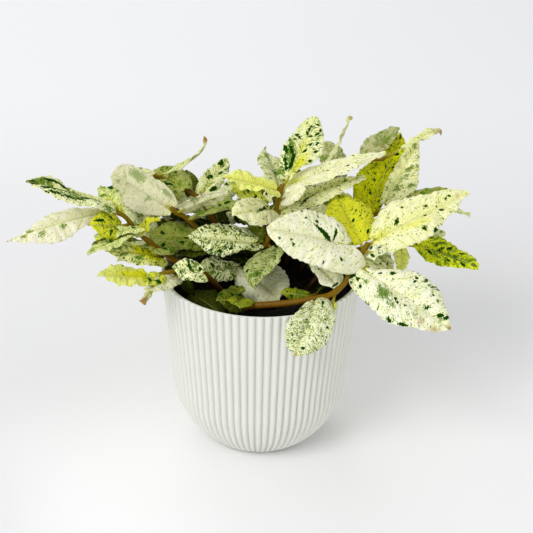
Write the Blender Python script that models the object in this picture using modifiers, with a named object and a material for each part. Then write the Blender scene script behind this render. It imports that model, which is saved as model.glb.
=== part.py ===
"""Potted pellionia: a ribbed cover pot, potting soil and leafy stems that lean out over the rim.

Frame: metres, +Z up, origin at the centre of the pot's flat base, -Y towards the viewer.
The driving sizes below, and the plant's own places, are in millimetres and are scaled by MM.
"""
import math
import random
from collections import namedtuple

import bmesh
import bpy
from mathutils import Matrix, Vector
from mathutils.bvhtree import BVHTree

MM = 0.001

# Pot: a straight flared wall above the waist, and one round arc from the waist to the foot.
POT_HEIGHT = 130.0
RIM_RADIUS = 70.0
WAIST_HEIGHT = 50.0
WAIST_RADIUS = 62.8
FOOT_ARC_RADIUS = 61.3
FOOT_ARC_STEPS = 3
WALL = 3.0
FLOOR_THICKNESS = 5.0
CAVITY_STEPS = 48
RIBS = 78
STEPS_PER_RIB = 3
GROOVE_DEPTH = 1.1
GROOVE_FADE_HEIGHT = 10.0
GROOVE_LEFT_AT_FOOT = 0.25
CUT_MARGIN = 5.0

# Soil.
GAP = 0.3
SOIL_TOP = 112.0
SOIL_EDGE_DROP = 1.0
SOIL_STEPS = 32
SOIL_RINGS = (18.0, 38.0, 56.0)
SOIL_RELIEF = 1.2
LUMP_TURNS = (0.21, 0.17, 0.34, 0.12)
LUMP_PHASE = 1.3
SMALL_LUMPS = 0.6
HOLE_DEPTH = 15.0
HOLE_SIDES = 6
HOLE_ROOM = 0.05

# Stems.
ROOT_RISE = 2.0
STEM_SPACING = 10.0
PATH_STEPS = 8
TIP_GIRTH = 0.62
TUBE_SIDES = 6

# Blades.
BLADE_THICKNESS = 0.8
PETIOLE = 4.6
PETIOLE_HALF_WIDTH = 1.2
TIP_HALF_WIDTH = 0.8
LOBE_START = {-1: 0.0, 1: 0.05}
LOBE_POWER = {-1: 0.6, 1: 0.75}
TIP_POWER = 0.8
FLARE = 0.05
TOOTH_OUT = 1.05
NOTCH_IN = 0.92
TOOTH_LEAN = 0.025
LAST_NOTCH = 0.98
NOTCH_PLACE = 1.9
TEETH = ((30, 2), (60, 3), (200, 4))
WAVES = 1.5
WAVE_PHASE = 1.3
WAVE_ONSET = 4.0
CURL_START = 0.6
MIDRIB_STEPS = 24
SLIVER = 0.02

# Room kept between a blade and its neighbours while the plant is laid out.
CLEAR_GAP = 0.6
RIM_ROOM = 1.2
SOIL_ROOM = 3.0
KEEP_OUT_STEPS = 36
OWN_ROOT_ZONE = 0.2
TURNS = (0, 7, -7, 14, -14, 21, -21)
LIFTS = (0, 6, -6, 12, -12, 18, -18)
TWISTS = (0, 12, -12, 24, -24, 36, -36)
SHRINKS = (1.0, 0.86, 0.72)
NUDGE_SCALES = (9, 8, 15)
NUDGES_TRIED = 180

# Stems behind the ones that the photograph shows.
BACK_SEED = 5
BACK_AZIMUTHS = (86, 112, 140, 160)
BACK_ROOT_RADIUS = 44.0
BACK_GIRTH = 2.2
BACK_ROUTE = ((47, 121, 0.0), (56, 132, 0.5), (69, 138, 1.0), (83, 140, 1.0), (97, 136, 1.0))
BACK_TONES = ("cream", "olive", "pale", "streaked", "mottled")
BACK_LEAF_FRACTIONS = (0.42, 0.56, 0.70, 0.84, 0.97)

POT_COLOUR = (0.80, 0.80, 0.78)
SOIL_COLOUR = (0.025, 0.018, 0.012)
CREAM = (0.78, 0.80, 0.52)
YELLOW_GREEN = (0.55, 0.58, 0.06)
GREY_GREEN = (0.42, 0.47, 0.28)
MATT = 0.95
SATIN = 0.5
SHARP_EDGE = 40
MERGE_REACH = 0.00001

Leaf = namedtuple("Leaf", "at heading rise length width roll arch fold curl wave tone",
                  defaults=(0, 12, 8, 0, 1.0, "cream"))
Stem = namedtuple("Stem", "name root girth colour route leaves")
Pose = namedtuple("Pose", "base along side up scale")
Row = namedtuple("Row", "left middle right normal")

# A leaf stands at a fraction of its stem's length. Heading 0 points to +X and 90 to the back,
# and a positive roll turns the blade's face to its right-hand side.
SHOWN_STEMS = [
    Stem("stem_front_right", (-22, -36), 2.6, CREAM,
         [(-17, -39, 120), (-4, -44, 125), (16, -48, 129.5), (31, -49, 133), (46, -47, 136),
          (56, -42, 143), (60, -38, 152), (67, -33, 161), (71, -29, 166)],
         [Leaf(0.58, -117, -36, 46, 32, roll=-22, arch=62, tone="speckled"),
          Leaf(0.86, -34, -19, 74, 37, roll=36, tone="blotched"),
          Leaf(0.92, -162, 23, 72, 34, roll=-50, arch=8, tone="cream"),
          Leaf(0.99, 18, 22, 78, 33, roll=28, tone="butter"),
          Leaf(0.95, 106, 26, 50, 32, roll=-8, tone="yellow"),
          Leaf(0.95, -29, 26, 18, 12, roll=35, tone="blotched"),
          Leaf(0.90, 38, -31, 30, 15, roll=32, tone="pale"),
          Leaf(0.67, -50, -35, 13, 9, tone="yellow"),
          Leaf(0.87, -10, -40, 12, 8, tone="yellow")]),
    Stem("stem_centre", (-9, 20), 2.3, CREAM,
         [(-8, 16, 121), (-5, 12, 131), (4, 5, 150), (8, 1, 166), (10, -4, 182), (12, -8, 193),
          (13, -8, 198)],
         [Leaf(0.10, -145, 9, 41, 20, roll=-32, tone="flecked"),
          Leaf(0.16, -56, -12, 50, 27, roll=24, tone="pale"),
          Leaf(0.42, -113, -13, 46, 25, roll=26, fold=26, tone="speckled"),
          Leaf(0.38, -156, 18, 60, 27, roll=-36, arch=8, tone="flecked"),
          Leaf(0.47, 138, -10, 24, 14, roll=-22, tone="olive"),
          Leaf(0.52, -48, -16, 64, 28, roll=-7, tone="cream"),
          Leaf(0.60, 31, 4, 46, 20, roll=3, tone="cream"),
          Leaf(0.76, -133, 12, 40, 24, roll=-34, tone="cream"),
          Leaf(0.72, 18, 17, 68, 24, roll=2, tone="streaked"),
          Leaf(0.83, -28, 37, 26, 14, roll=46, tone="butter"),
          Leaf(0.88, 26, 10, 84, 26, roll=-2, tone="cream"),
          Leaf(0.94, -150, 24, 40, 19, roll=-34, fold=18, wave=2, tone="yellow"),
          Leaf(0.99, 60, 33, 60, 27, roll=18, arch=6, tone="streaked"),
          Leaf(0.91, 104, 16, 44, 22, roll=20, wave=2, tone="pale")]),
    Stem("stem_left_centre", (-15, 29), 2.3, GREY_GREEN,
         [(-17, 25, 121), (-24, 17, 132), (-45, 10, 156), (-53, 8, 165), (-60, 6, 170),
          (-63, 5, 174)],
         [Leaf(0.80, -33, 11, 46, 21, roll=12, tone="olive"),
          Leaf(0.95, 140, 11, 62, 35, roll=105, tone="pale"),
          Leaf(0.93, -24, 24, 46, 18, roll=-48, tone="pale"),
          Leaf(0.52, 172, 0, 44, 24, roll=-30, tone="olive")]),
    Stem("stem_back_left", (-24, 36), 2.2, GREY_GREEN,
         [(-26, 38, 122), (-32, 40, 140), (-40, 42, 156), (-48, 43, 166), (-59, 46, 171),
          (-70, 50, 175), (-78, 52, 178)],
         [Leaf(0.76, 131, 10, 44, 23, roll=-4, tone="olive"),
          Leaf(0.99, -21, 43, 50, 14, roll=15, arch=-30, curl=-50, tone="pale"),
          Leaf(0.66, 102, 16, 30, 15, roll=30, tone="olive"),
          Leaf(0.60, 51, 34, 38, 16, roll=30, tone="streaked"),
          Leaf(0.56, -49, 14, 42, 17, roll=10, tone="olive"),
          Leaf(0.90, 92, -14, 42, 20, roll=6, tone="olive"),
          Leaf(0.98, 146, -12, 42, 20, roll=0, tone="pale")]),
    Stem("stem_left", (-36, 3), 2.3, CREAM,
         [(-39, 1, 121), (-48, -5, 132), (-62, -10, 142), (-70, -12, 150), (-77, -14, 157),
          (-85, -16, 166), (-92, -18, 177), (-99, -20, 182)],
         [Leaf(0.98, -147, 28, 70, 20, roll=-16, arch=6, tone="streaked"),
          Leaf(0.99, -142, 0, 77, 27, roll=-16, fold=4, tone="pale"),
          Leaf(0.84, -138, 22, 34, 20, roll=-50, tone="mottled"),
          Leaf(0.96, 117, 8, 34, 15, roll=-16, tone="blotched"),
          Leaf(0.76, -32, 38, 24, 11, roll=38, wave=2, tone="yellow"),
          Leaf(0.75, -128, 3, 46, 14, roll=6, tone="yellow"),
          Leaf(0.52, -143, 16, 54, 22, roll=-22, tone="mottled"),
          Leaf(0.64, 50, -14, 28, 14, roll=20, tone="olive")]),
    Stem("stem_left_low", (-26, -11), 2.1, YELLOW_GREEN,
         [(-30, -14, 123), (-39, -22, 137), (-48, -30, 144), (-58, -35, 145.5), (-66, -38, 145),
          (-73, -40, 143)],
         [Leaf(0.97, -144, 13, 50, 21, roll=-26, arch=6, wave=2, tone="yellow"),
          Leaf(0.88, -114, 4, 22, 13, roll=-34, tone="mottled"),
          Leaf(0.60, -128, 0, 38, 16, roll=-16, tone="pale"),
          Leaf(0.38, -172, 18, 26, 14, roll=-40, tone="speckled"),
          Leaf(0.99, -113, -36, 20, 8, roll=-80, arch=50, tone="yellow")]),
    Stem("stem_right", (34, 2), 2.1, YELLOW_GREEN,
         [(39, 4, 121), (58, 10, 137), (78, 15, 142), (94, 18, 142), (104, 20, 142)],
         [Leaf(0.99, -40, 1, 57, 22, roll=26, tone="mottled"),
          Leaf(0.93, -96, -16, 26, 12, roll=-20, tone="yellow"),
          Leaf(0.97, 30, 0, 50, 20, roll=14, tone="pale"),
          Leaf(0.80, 78, 10, 42, 20, roll=8, tone="olive"),
          Leaf(0.62, -60, -4, 34, 16, roll=20, tone="pale")]),
    Stem("stem_back_right", (28, 28), 2.3, YELLOW_GREEN,
         [(33, 30, 121), (50, 37, 137), (66, 42, 147), (80, 45, 152), (92, 47, 158)],
         [Leaf(0.78, 66, 32, 80, 38, roll=20, arch=8, tone="yellow"),
          Leaf(0.97, 58, 33, 64, 26, roll=6, arch=8, tone="pale"),
          Leaf(0.99, 12, 20, 46, 19, roll=12, tone="olive"),
          Leaf(0.98, -14, 6, 60, 18, roll=10, tone="pale"),
          Leaf(0.68, 112, 8, 46, 20, roll=-6, tone="olive")]),
    Stem("stem_back_centre", (17, 36), 2.3, GREY_GREEN,
         [(19, 39, 122), (26, 47, 142), (38, 53, 162), (50, 58, 176), (62, 64, 183),
          (74, 67, 186), (88, 66, 188)],
         [Leaf(0.86, 52, 14, 50, 22, roll=4, tone="pale"),
          Leaf(0.99, 36, 6, 50, 16, roll=8, curl=40, tone="pale"),
          Leaf(0.62, 44, 34, 48, 11, roll=-50, arch=-16, tone="pale"),
          Leaf(0.66, 96, 14, 40, 20, roll=0, tone="olive"),
          Leaf(0.50, 140, 14, 46, 21, roll=-12, tone="olive")]),
    Stem("shoot_front", (-12, -19), 1.6, YELLOW_GREEN,
         [(-12, -22, 118), (-14, -27, 123), (-16, -31, 126)],
         [Leaf(0.90, -150, 16, 22, 13, roll=-40, wave=2, tone="yellow"),
          Leaf(0.97, -88, 6, 20, 13, roll=-10, wave=2, tone="mottled"),
          Leaf(0.70, -30, 30, 22, 12, roll=30, tone="mottled")]),
    Stem("shoot_left", (-47, -8), 1.6, GREY_GREEN,
         [(-47, -11, 117), (-46, -16, 119), (-43, -21, 120)],
         [Leaf(0.96, -50, -2, 29, 20, roll=10, tone="olive"),
          Leaf(0.80, 160, 34, 30, 16, roll=-30, tone="olive")]),
    Stem("shoot_right", (32, -20), 1.6, GREY_GREEN,
         [(33, -22, 118), (36, -26, 123), (38, -29, 127)],
         [Leaf(0.97, -160, 16, 28, 13, roll=-30, tone="mottled"),
          Leaf(0.70, 40, 30, 30, 14, roll=20, tone="olive")]),
]


def outer_radius(height):
    """Radius of the pot's outer wall at a height, before the grooves are pressed in."""
    if height >= WAIST_HEIGHT:
        flare = (RIM_RADIUS - WAIST_RADIUS) / (POT_HEIGHT - WAIST_HEIGHT)
        return WAIST_RADIUS + flare * (height - WAIST_HEIGHT)
    below = WAIST_HEIGHT - height
    return WAIST_RADIUS - FOOT_ARC_RADIUS + math.sqrt(FOOT_ARC_RADIUS ** 2 - below ** 2)


def wall_profile(inset, top, bottom):
    """Radius and height down the wall, from top to bottom, at an inset from the outer face."""
    radius = FOOT_ARC_RADIUS - inset
    centre = WAIST_RADIUS - FOOT_ARC_RADIUS
    last = math.asin((WAIST_HEIGHT - bottom) / radius)
    points = [(outer_radius(top) - inset, top)]
    for step in range(FOOT_ARC_STEPS + 1):
        angle = last * step / FOOT_ARC_STEPS
        points.append((centre + radius * math.cos(angle), WAIST_HEIGHT - radius * math.sin(angle)))
    return points


def spline_point(a, b, c, d, t):
    """Point between b and c on a smooth curve that passes a, b, c and d."""
    return 0.5 * (2 * b + (c - a) * t + (2 * a - 5 * b + 4 * c - d) * t ** 2
                  + (3 * b - a - 3 * c + d) * t ** 3)


def stem_path(stem):
    """Fine points of the stem's centre line, from just above the soil to its tip."""
    start = Vector((*stem.root, SOIL_TOP + ROOT_RISE))
    knots = [start - Vector((0, 0, STEM_SPACING)), start] + [Vector(point) for point in stem.route]
    knots.append(2 * knots[-1] - knots[-2])
    path = []
    for i in range(1, len(knots) - 2):
        path += [spline_point(*knots[i - 1:i + 3], k / PATH_STEPS) for k in range(PATH_STEPS)]
    path.append(knots[-2])
    return path


def path_length(path):
    """Length of a line of points."""
    return sum((q - p).length for p, q in zip(path, path[1:]))


def on_path(path, fraction):
    """Point at a fraction of the path's length."""
    left = fraction * path_length(path)
    for p, q in zip(path, path[1:]):
        step = (q - p).length
        if left <= step:
            return p.lerp(q, left / step)
        left -= step
    return path[-1].copy()


def midrib_curve(leaf):
    """Side view of the midrib as (forward, upward, slope), with its chord from 0 to 1."""
    points = [(0.0, 0.0)]
    slopes = []
    for i in range(MIDRIB_STEPS):
        u = (i + 0.5) / MIDRIB_STEPS
        late = max(0.0, (u - CURL_START) / (1 - CURL_START))
        slope = -math.radians(leaf.arch * u + leaf.curl * late ** 2)
        slopes.append(slope)
        x, z = points[-1]
        points.append((x + math.cos(slope), z + math.sin(slope)))
    chord = math.hypot(*points[-1])
    tilt = math.atan2(points[-1][1], points[-1][0])
    curve = []
    for i, (x, z) in enumerate(points):
        forward = (x * math.cos(tilt) + z * math.sin(tilt)) / chord
        upward = (z * math.cos(tilt) - x * math.sin(tilt)) / chord
        curve.append((forward, upward, slopes[min(i, MIDRIB_STEPS - 1)] - tilt))
    return curve


def on_midrib(curve, u):
    """Forward, upward and slope of the midrib at u, from 0 at the stem to 1 at the tip."""
    place = min(max(u, 0.0), 1.0) * MIDRIB_STEPS
    i = min(int(place), MIDRIB_STEPS - 1)
    t = place - i
    return tuple(a + (b - a) * t for a, b in zip(curve[i], curve[i + 1]))


def half_outline(t, hand):
    """Half width on one side of the midrib, 1 at its widest; the left lobe is the fuller one."""
    power = LOBE_POWER[hand]
    t = max(0.0, (t - LOBE_START[hand]) / (1 - LOBE_START[hand]))
    widest = power / (power + TIP_POWER)
    return (t / widest) ** power * ((1 - t) / (1 - widest)) ** TIP_POWER


def tooth_rows(length):
    """Fractions of the blade at which its edge turns, each with its reach and forward lean."""
    teeth = next(count for longest, count in TEETH if length < longest)
    pitch = (LAST_NOTCH - FLARE) / (2 * teeth)
    rows = [(FLARE, 1.0, 0.0)]
    for i in range(teeth):
        rows.append((FLARE + pitch * (2 * i + 1), TOOTH_OUT, TOOTH_LEAN))
        rows.append((FLARE + pitch * (2 * i + NOTCH_PLACE), NOTCH_IN, 0.0))
    return rows


def pose_leaf(leaf, base, nudge=(0, 0, 0), scale=1.0):
    """Place and directions of a leaf, bent by a nudge of heading, rise and roll."""
    heading = math.radians(leaf.heading + nudge[0])
    rise = math.radians(leaf.rise + nudge[1])
    along = Vector((math.cos(heading) * math.cos(rise), math.sin(heading) * math.cos(rise),
                    math.sin(rise)))
    side = Vector((math.sin(heading), -math.cos(heading), 0.0))
    spin = Matrix.Rotation(math.radians(leaf.roll + nudge[2]), 3, along)
    return Pose(base, along, spin @ side, spin @ side.cross(along), scale)


def blade_rows(leaf, pose):
    """Rows of a blade: its two edges, its midrib and its normal, from the stem's axis to the tip."""
    length = leaf.length * pose.scale
    foot = PETIOLE / length
    curve = midrib_curve(leaf)
    fold = math.radians(leaf.fold)

    def row(u, t, reach, lean, flat):
        forward, upward, slope = on_midrib(curve, u)
        middle = pose.base + length * (pose.along * forward + pose.up * upward)
        tangent = pose.along * math.cos(slope) + pose.up * math.sin(slope)
        normal = pose.up * math.cos(slope) - pose.along * math.sin(slope)
        edges = []
        for hand in (-1, 1):
            if flat:
                edges.append(middle + pose.side * hand * flat)
                continue
            wide = max(PETIOLE_HALF_WIDTH,
                       0.5 * leaf.width * pose.scale * half_outline(t, hand) * reach)
            ripple = leaf.wave * math.sin(math.tau * WAVES * t + WAVE_PHASE * hand)
            edges.append(middle + pose.side * hand * wide * math.cos(fold)
                         + normal * (wide * math.sin(fold) + ripple * min(1.0, WAVE_ONSET * t))
                         + tangent * lean * length)
        return Row(edges[0], middle, edges[1], normal)

    rows = [row(0.0, 0.0, 1.0, 0.0, PETIOLE_HALF_WIDTH), row(foot, 0.0, 1.0, 0.0, PETIOLE_HALF_WIDTH)]
    for t, reach, lean in tooth_rows(leaf.length):
        rows.append(row(foot + (1 - foot) * t, t, reach, lean, 0.0))
    rows.append(row(1.0, 1.0, 1.0, 0.0, TIP_HALF_WIDTH))
    return rows


def sheet_faces(count):
    """Triangles of a sheet with count rows of three points, alike on both sides of the midrib."""
    faces = []
    for i in range(0, 3 * (count - 1), 3):
        faces += [(i, i + 1, i + 3), (i + 1, i + 4, i + 3), (i + 1, i + 2, i + 5), (i + 1, i + 5, i + 4)]
    return faces


def blade_tree(rows):
    """Search tree of a blade's closed shell, grown by the room that its neighbours leave it."""
    half = BLADE_THICKNESS / 2 + CLEAR_GAP
    points = []
    for lift in (half, -half):
        for row in rows:
            across = (row.right - row.left).normalized() * CLEAR_GAP
            points += [row.left - across + row.normal * lift, row.middle + row.normal * lift,
                       row.right + across + row.normal * lift]
    sheet = sheet_faces(len(rows))
    shift = 3 * len(rows)
    faces = sheet + [tuple(i + shift for i in face) for face in sheet]
    for i in range(0, shift - 3, 3):
        for edge in (i, i + 2):
            faces += [(edge, edge + 3, edge + shift), (edge + 3, edge + 3 + shift, edge + shift)]
    return BVHTree.FromPolygons(points, faces), box_of(points)


def box_of(points):
    """Lowest and highest corner of some points."""
    return (Vector(map(min, zip(*points))), Vector(map(max, zip(*points))))


def boxes_meet(a, b):
    """Whether two boxes touch."""
    return all(a[0][i] <= b[1][i] and b[0][i] <= a[1][i] for i in range(3))


def lathe_tree(profile, steps):
    """Search tree of a profile turned about the pot's axis."""
    points = [(r * math.cos(math.tau * k / steps), r * math.sin(math.tau * k / steps), z)
              for r, z in profile for k in range(steps)]
    faces = []
    for i in range(len(profile) - 1):
        for k in range(steps):
            n = (k + 1) % steps
            faces.append((i * steps + k, i * steps + n, (i + 1) * steps + n, (i + 1) * steps + k))
    return BVHTree.FromPolygons(points, faces), box_of(points)


def stem_tree(stem, path):
    """Search tree of a stem's tube, grown by the room that leaves keep from it."""
    reach = stem.girth + CLEAR_GAP
    points = []
    for i, place in enumerate(path):
        ahead = (path[min(i + 1, len(path) - 1)] - path[max(i - 1, 0)]).normalized()
        across = ahead.orthogonal().normalized() * reach
        upright = ahead.cross(across)
        for k in range(TUBE_SIDES):
            angle = math.tau * k / TUBE_SIDES
            points.append(place + across * math.cos(angle) + upright * math.sin(angle))
    faces = []
    for i in range(0, TUBE_SIDES * (len(path) - 1), TUBE_SIDES):
        for k in range(TUBE_SIDES):
            n = (k + 1) % TUBE_SIDES
            faces.append((i + k, i + n, i + TUBE_SIDES + n, i + TUBE_SIDES + k))
    return BVHTree.FromPolygons(points, faces), box_of(points)


def nudges():
    """Small turns of heading, rise and roll, the slightest first."""
    tried = [(turn, lift, twist) for turn in TURNS for lift in LIFTS for twist in TWISTS]
    tried.sort(key=lambda nudge: sum((a / b) ** 2 for a, b in zip(nudge, NUDGE_SCALES)))
    return tried[:NUDGES_TRIED]


def meets(tree_and_box, others):
    """Whether a shell touches any of the others."""
    tree, box = tree_and_box
    return any(boxes_meet(box, other_box) and tree.overlap(other) for other, other_box in others)


def lay_out(stems):
    """Pose of every leaf: as listed, or bent just enough to clear what stands near it."""
    paths = {stem.name: stem_path(stem) for stem in stems}
    tubes = {stem.name: stem_tree(stem, paths[stem.name]) for stem in stems}
    keep_out = lathe_tree([(0.01, SOIL_TOP + SOIL_ROOM),
                           (RIM_RADIUS - WALL - RIM_ROOM, SOIL_TOP + SOIL_ROOM),
                           (RIM_RADIUS - WALL - RIM_ROOM, POT_HEIGHT + RIM_ROOM),
                           (RIM_RADIUS + RIM_ROOM, POT_HEIGHT + RIM_ROOM),
                           (WAIST_RADIUS + RIM_ROOM, WAIST_HEIGHT)], KEEP_OUT_STEPS)
    placed = []
    poses = {}
    for stem in stems:
        for number, leaf in enumerate(stem.leaves):
            base = on_path(paths[stem.name], leaf.at)
            pose = clear_pose(stem, leaf, base, placed, tubes, keep_out)
            if pose:
                rows = blade_rows(leaf, pose)
                outer = rows[1 + round(OWN_ROOT_ZONE * len(rows)):]
                placed.append((stem.name, blade_tree(rows[1:]), blade_tree(outer)))
                poses[stem.name, number] = pose
    return paths, poses


def clear_pose(stem, leaf, base, placed, tubes, keep_out):
    """First pose of a leaf, from the slightest nudge on, that crosses nothing; None if all do."""
    others = [whole for name, whole, outer in placed if name != stem.name]
    others += [tube for name, tube in tubes.items() if name != stem.name] + [keep_out]
    kin = [outer for name, whole, outer in placed if name == stem.name] + [tubes[stem.name]]
    for scale in SHRINKS:
        for nudge in nudges():
            pose = pose_leaf(leaf, base, nudge, scale)
            rows = blade_rows(leaf, pose)
            if meets(blade_tree(rows[1 + round(OWN_ROOT_ZONE * len(rows)):]), kin):
                continue
            if not meets(blade_tree(rows[1:]), others):
                return pose
    return None


def hidden_stems():
    """Leafy stems behind the shown ones, each arching out over the rim along its own azimuth."""
    draw = random.Random(BACK_SEED)
    stems = []
    for number, azimuth in enumerate(BACK_AZIMUTHS, 1):
        lean = math.radians(azimuth)
        root = (BACK_ROOT_RADIUS * math.cos(lean), BACK_ROOT_RADIUS * math.sin(lean))
        high = draw.uniform(0, 6)
        sway = draw.uniform(-8, 8)
        route = []
        for reach, height, share in BACK_ROUTE:
            turn = lean + math.radians(sway * (reach - BACK_ROOT_RADIUS) / BACK_ROOT_RADIUS)
            route.append((reach * math.cos(turn), reach * math.sin(turn), height + share * high))
        leaves = []
        for i, at in enumerate(BACK_LEAF_FRACTIONS):
            hand = 1 if i % 2 else -1
            spread = draw.uniform(48, 66) * (1 - 0.5 * at)
            leaves.append(Leaf(at, azimuth + hand * spread, draw.uniform(-4, 14),
                               draw.uniform(40, 58), draw.uniform(18, 24),
                               roll=hand * draw.uniform(-4, 14), arch=draw.uniform(16, 30),
                               tone=draw.choice(BACK_TONES)))
        stems.append(Stem("stem_behind_%d" % number, root, BACK_GIRTH,
                          (CREAM, GREY_GREEN)[number % 2], route, leaves))
    return stems


def principled(name, colour, roughness):
    """Plain material with a colour and a roughness."""
    material = bpy.data.materials.new(name)
    material.use_nodes = True
    shader = material.node_tree.nodes["Principled BSDF"]
    shader.inputs["Base Color"].default_value = (*colour, 1.0)
    shader.inputs["Roughness"].default_value = roughness
    shader.inputs["Metallic"].default_value = 0.0
    return material


def new_collection(name):
    """Empty collection in the scene."""
    collection = bpy.data.collections.new(name)
    bpy.context.scene.collection.children.link(collection)
    return collection


def add_object(name, data, collection):
    """Object with this data in a collection."""
    thing = bpy.data.objects.new(name, data)
    collection.objects.link(thing)
    return thing


def applied_mesh(thing):
    """Mesh of an object with its modifiers applied."""
    depsgraph = bpy.context.evaluated_depsgraph_get()
    depsgraph.update()
    return bpy.data.meshes.new_from_object(thing.evaluated_get(depsgraph))


def turned(name, profile, steps, collection):
    """Solid turned about the Z axis from a profile that runs down its wall, with two flat ends."""
    mesh = bpy.data.meshes.new(name)
    mesh.from_pydata([(r * MM, 0.0, z * MM) for r, z in profile],
                     [(i, i + 1) for i in range(len(profile) - 1)], [])
    thing = add_object(name, mesh, collection)
    screw = thing.modifiers.new("Turn", "SCREW")
    screw.axis = "Z"
    screw.steps = steps
    screw.render_steps = steps
    screw.use_merge_vertices = True
    screw.merge_threshold = MERGE_REACH
    thing.data = applied_mesh(thing)
    thing.modifiers.clear()
    shell = bmesh.new()
    shell.from_mesh(thing.data)
    bmesh.ops.holes_fill(shell, edges=[edge for edge in shell.edges if edge.is_boundary])
    bmesh.ops.recalc_face_normals(shell, faces=shell.faces)
    shell.to_mesh(thing.data)
    shell.free()
    return thing


def mark_as_guide(thing):
    """Cutters show as wires and aren't rendered."""
    thing.hide_render = True
    thing.display_type = "WIRE"


def round_shading(thing):
    """Smooth shading that keeps the sharp edges sharp."""
    thing.data.shade_smooth()
    thing.data.set_sharp_from_angle(angle=math.radians(SHARP_EDGE))


def build_pot(parts, cutters):
    """Ribbed cover pot with a straight-sided cavity."""
    pot = turned("pot", wall_profile(0.0, POT_HEIGHT, 0.0), RIBS * STEPS_PER_RIB, parts)
    for vertex in pot.data.vertices:
        radius = math.hypot(vertex.co.x, vertex.co.y)
        phase = math.atan2(vertex.co.y, vertex.co.x) * RIBS
        fade = min(1.0, GROOVE_LEFT_AT_FOOT + vertex.co.z / MM / GROOVE_FADE_HEIGHT)
        depth = GROOVE_DEPTH * MM * fade * max(0.0, math.cos(phase))
        vertex.co.x *= 1 - depth / radius
        vertex.co.y *= 1 - depth / radius
    above = POT_HEIGHT + CUT_MARGIN
    cavity = turned("pot_cavity", wall_profile(WALL, above, FLOOR_THICKNESS), CAVITY_STEPS, cutters)
    mark_as_guide(cavity)
    cut = pot.modifiers.new("Cavity", "BOOLEAN")
    cut.operation = "DIFFERENCE"
    cut.object = cavity
    round_shading(pot)
    pot.data.materials.append(principled("pot_white", POT_COLOUR, SATIN))


def build_soil(parts, cutters, stems):
    """Soil that fills the cavity, with a lumpy top and a plain hole for each stem."""
    wall = wall_profile(WALL + GAP, SOIL_TOP - SOIL_EDGE_DROP, FLOOR_THICKNESS + GAP)
    profile = [(ring, SOIL_TOP) for ring in SOIL_RINGS] + wall
    soil = turned("potting_soil", profile, SOIL_STEPS, parts)
    for vertex in soil.data.vertices:
        x, y, z = vertex.co / MM
        if z > SOIL_TOP - SOIL_EDGE_DROP / 2:
            a, b, c, d = LUMP_TURNS
            lumps = math.sin(a * x + LUMP_PHASE) * math.cos(b * y)
            lumps += SMALL_LUMPS * math.sin(c * y - d * x)
            vertex.co.z += SOIL_RELIEF * MM * lumps / (1 + SMALL_LUMPS)
    holes = new_collection("stem_holes")
    for stem in stems:
        radius = (stem.girth + GAP) / math.cos(math.pi / HOLE_SIDES) + HOLE_ROOM
        bpy.ops.mesh.primitive_cylinder_add(
            vertices=HOLE_SIDES, radius=radius * MM, depth=2 * HOLE_DEPTH * MM,
            location=(stem.root[0] * MM, stem.root[1] * MM, SOIL_TOP * MM))
        hole = bpy.context.object
        hole.name = "hole_of_" + stem.name
        for home in list(hole.users_collection):
            home.objects.unlink(hole)
        holes.objects.link(hole)
        mark_as_guide(hole)
    cut = soil.modifiers.new("Holes", "BOOLEAN")
    cut.operation = "DIFFERENCE"
    cut.operand_type = "COLLECTION"
    cut.collection = holes
    round_shading(soil)
    soil.data.materials.append(principled("soil", SOIL_COLOUR, MATT))


def build_tube(stem, path, parts):
    """The stem itself: a tapering tube from the bottom of its hole to its tip."""
    x, y = stem.root
    count = max(2, round(path_length(path) / STEM_SPACING))
    points = [Vector((x, y, SOIL_TOP - HOLE_DEPTH + GAP))]
    points += [on_path(path, i / count) for i in range(count + 1)]
    curve = bpy.data.curves.new(stem.name, "CURVE")
    curve.dimensions = "3D"
    curve.bevel_depth = stem.girth * MM
    curve.bevel_resolution = 1
    curve.use_fill_caps = True
    spline = curve.splines.new("POLY")
    spline.points.add(len(points) - 1)
    for i, point in enumerate(points):
        spline.points[i].co = (*(point * MM), 1.0)
        spline.points[i].radius = 1 - (1 - TIP_GIRTH) * max(0, i - 1) / count
    guide = add_object(stem.name + "_line", curve, parts)
    mesh = applied_mesh(guide)
    bpy.data.objects.remove(guide)
    shell = bmesh.new()
    shell.from_mesh(mesh)
    bmesh.ops.remove_doubles(shell, verts=shell.verts, dist=MERGE_REACH)
    bmesh.ops.recalc_face_normals(shell, faces=shell.faces)
    shell.to_mesh(mesh)
    shell.free()
    mesh.name = stem.name
    return add_object(stem.name, mesh, parts)


def build_blade(name, rows, collection):
    """One leaf: a lofted sheet with toothed edges, given its thickness."""
    mesh = bpy.data.meshes.new(name)
    points = []
    for row in rows:
        points += [row.left * MM, row.middle * MM, row.right * MM]
    mesh.from_pydata(points, [], sheet_faces(len(rows)))
    blade = add_object(name, mesh, collection)
    skin = blade.modifiers.new("Thickness", "SOLIDIFY")
    skin.thickness = BLADE_THICKNESS * MM
    skin.offset = 0.0
    return blade


def is_closed(mesh):
    """Whether every edge of a mesh lies between two faces."""
    shell = bmesh.new()
    shell.from_mesh(mesh)
    closed = all(edge.is_manifold for edge in shell.edges)
    shell.free()
    return closed


def clean_slivers(mesh):
    """Dissolve the shortest edges that the union leaves, where the body stays closed without them."""
    for reach in (SLIVER, SLIVER / 4, 0.0):
        shell = bmesh.new()
        shell.from_mesh(mesh)
        if reach:
            bmesh.ops.dissolve_degenerate(shell, edges=shell.edges, dist=reach * MM)
        bmesh.ops.triangulate(shell, faces=shell.faces)
        closed = all(edge.is_manifold for edge in shell.edges)
        if closed:
            shell.to_mesh(mesh)
        shell.free()
        if closed:
            return


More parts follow.
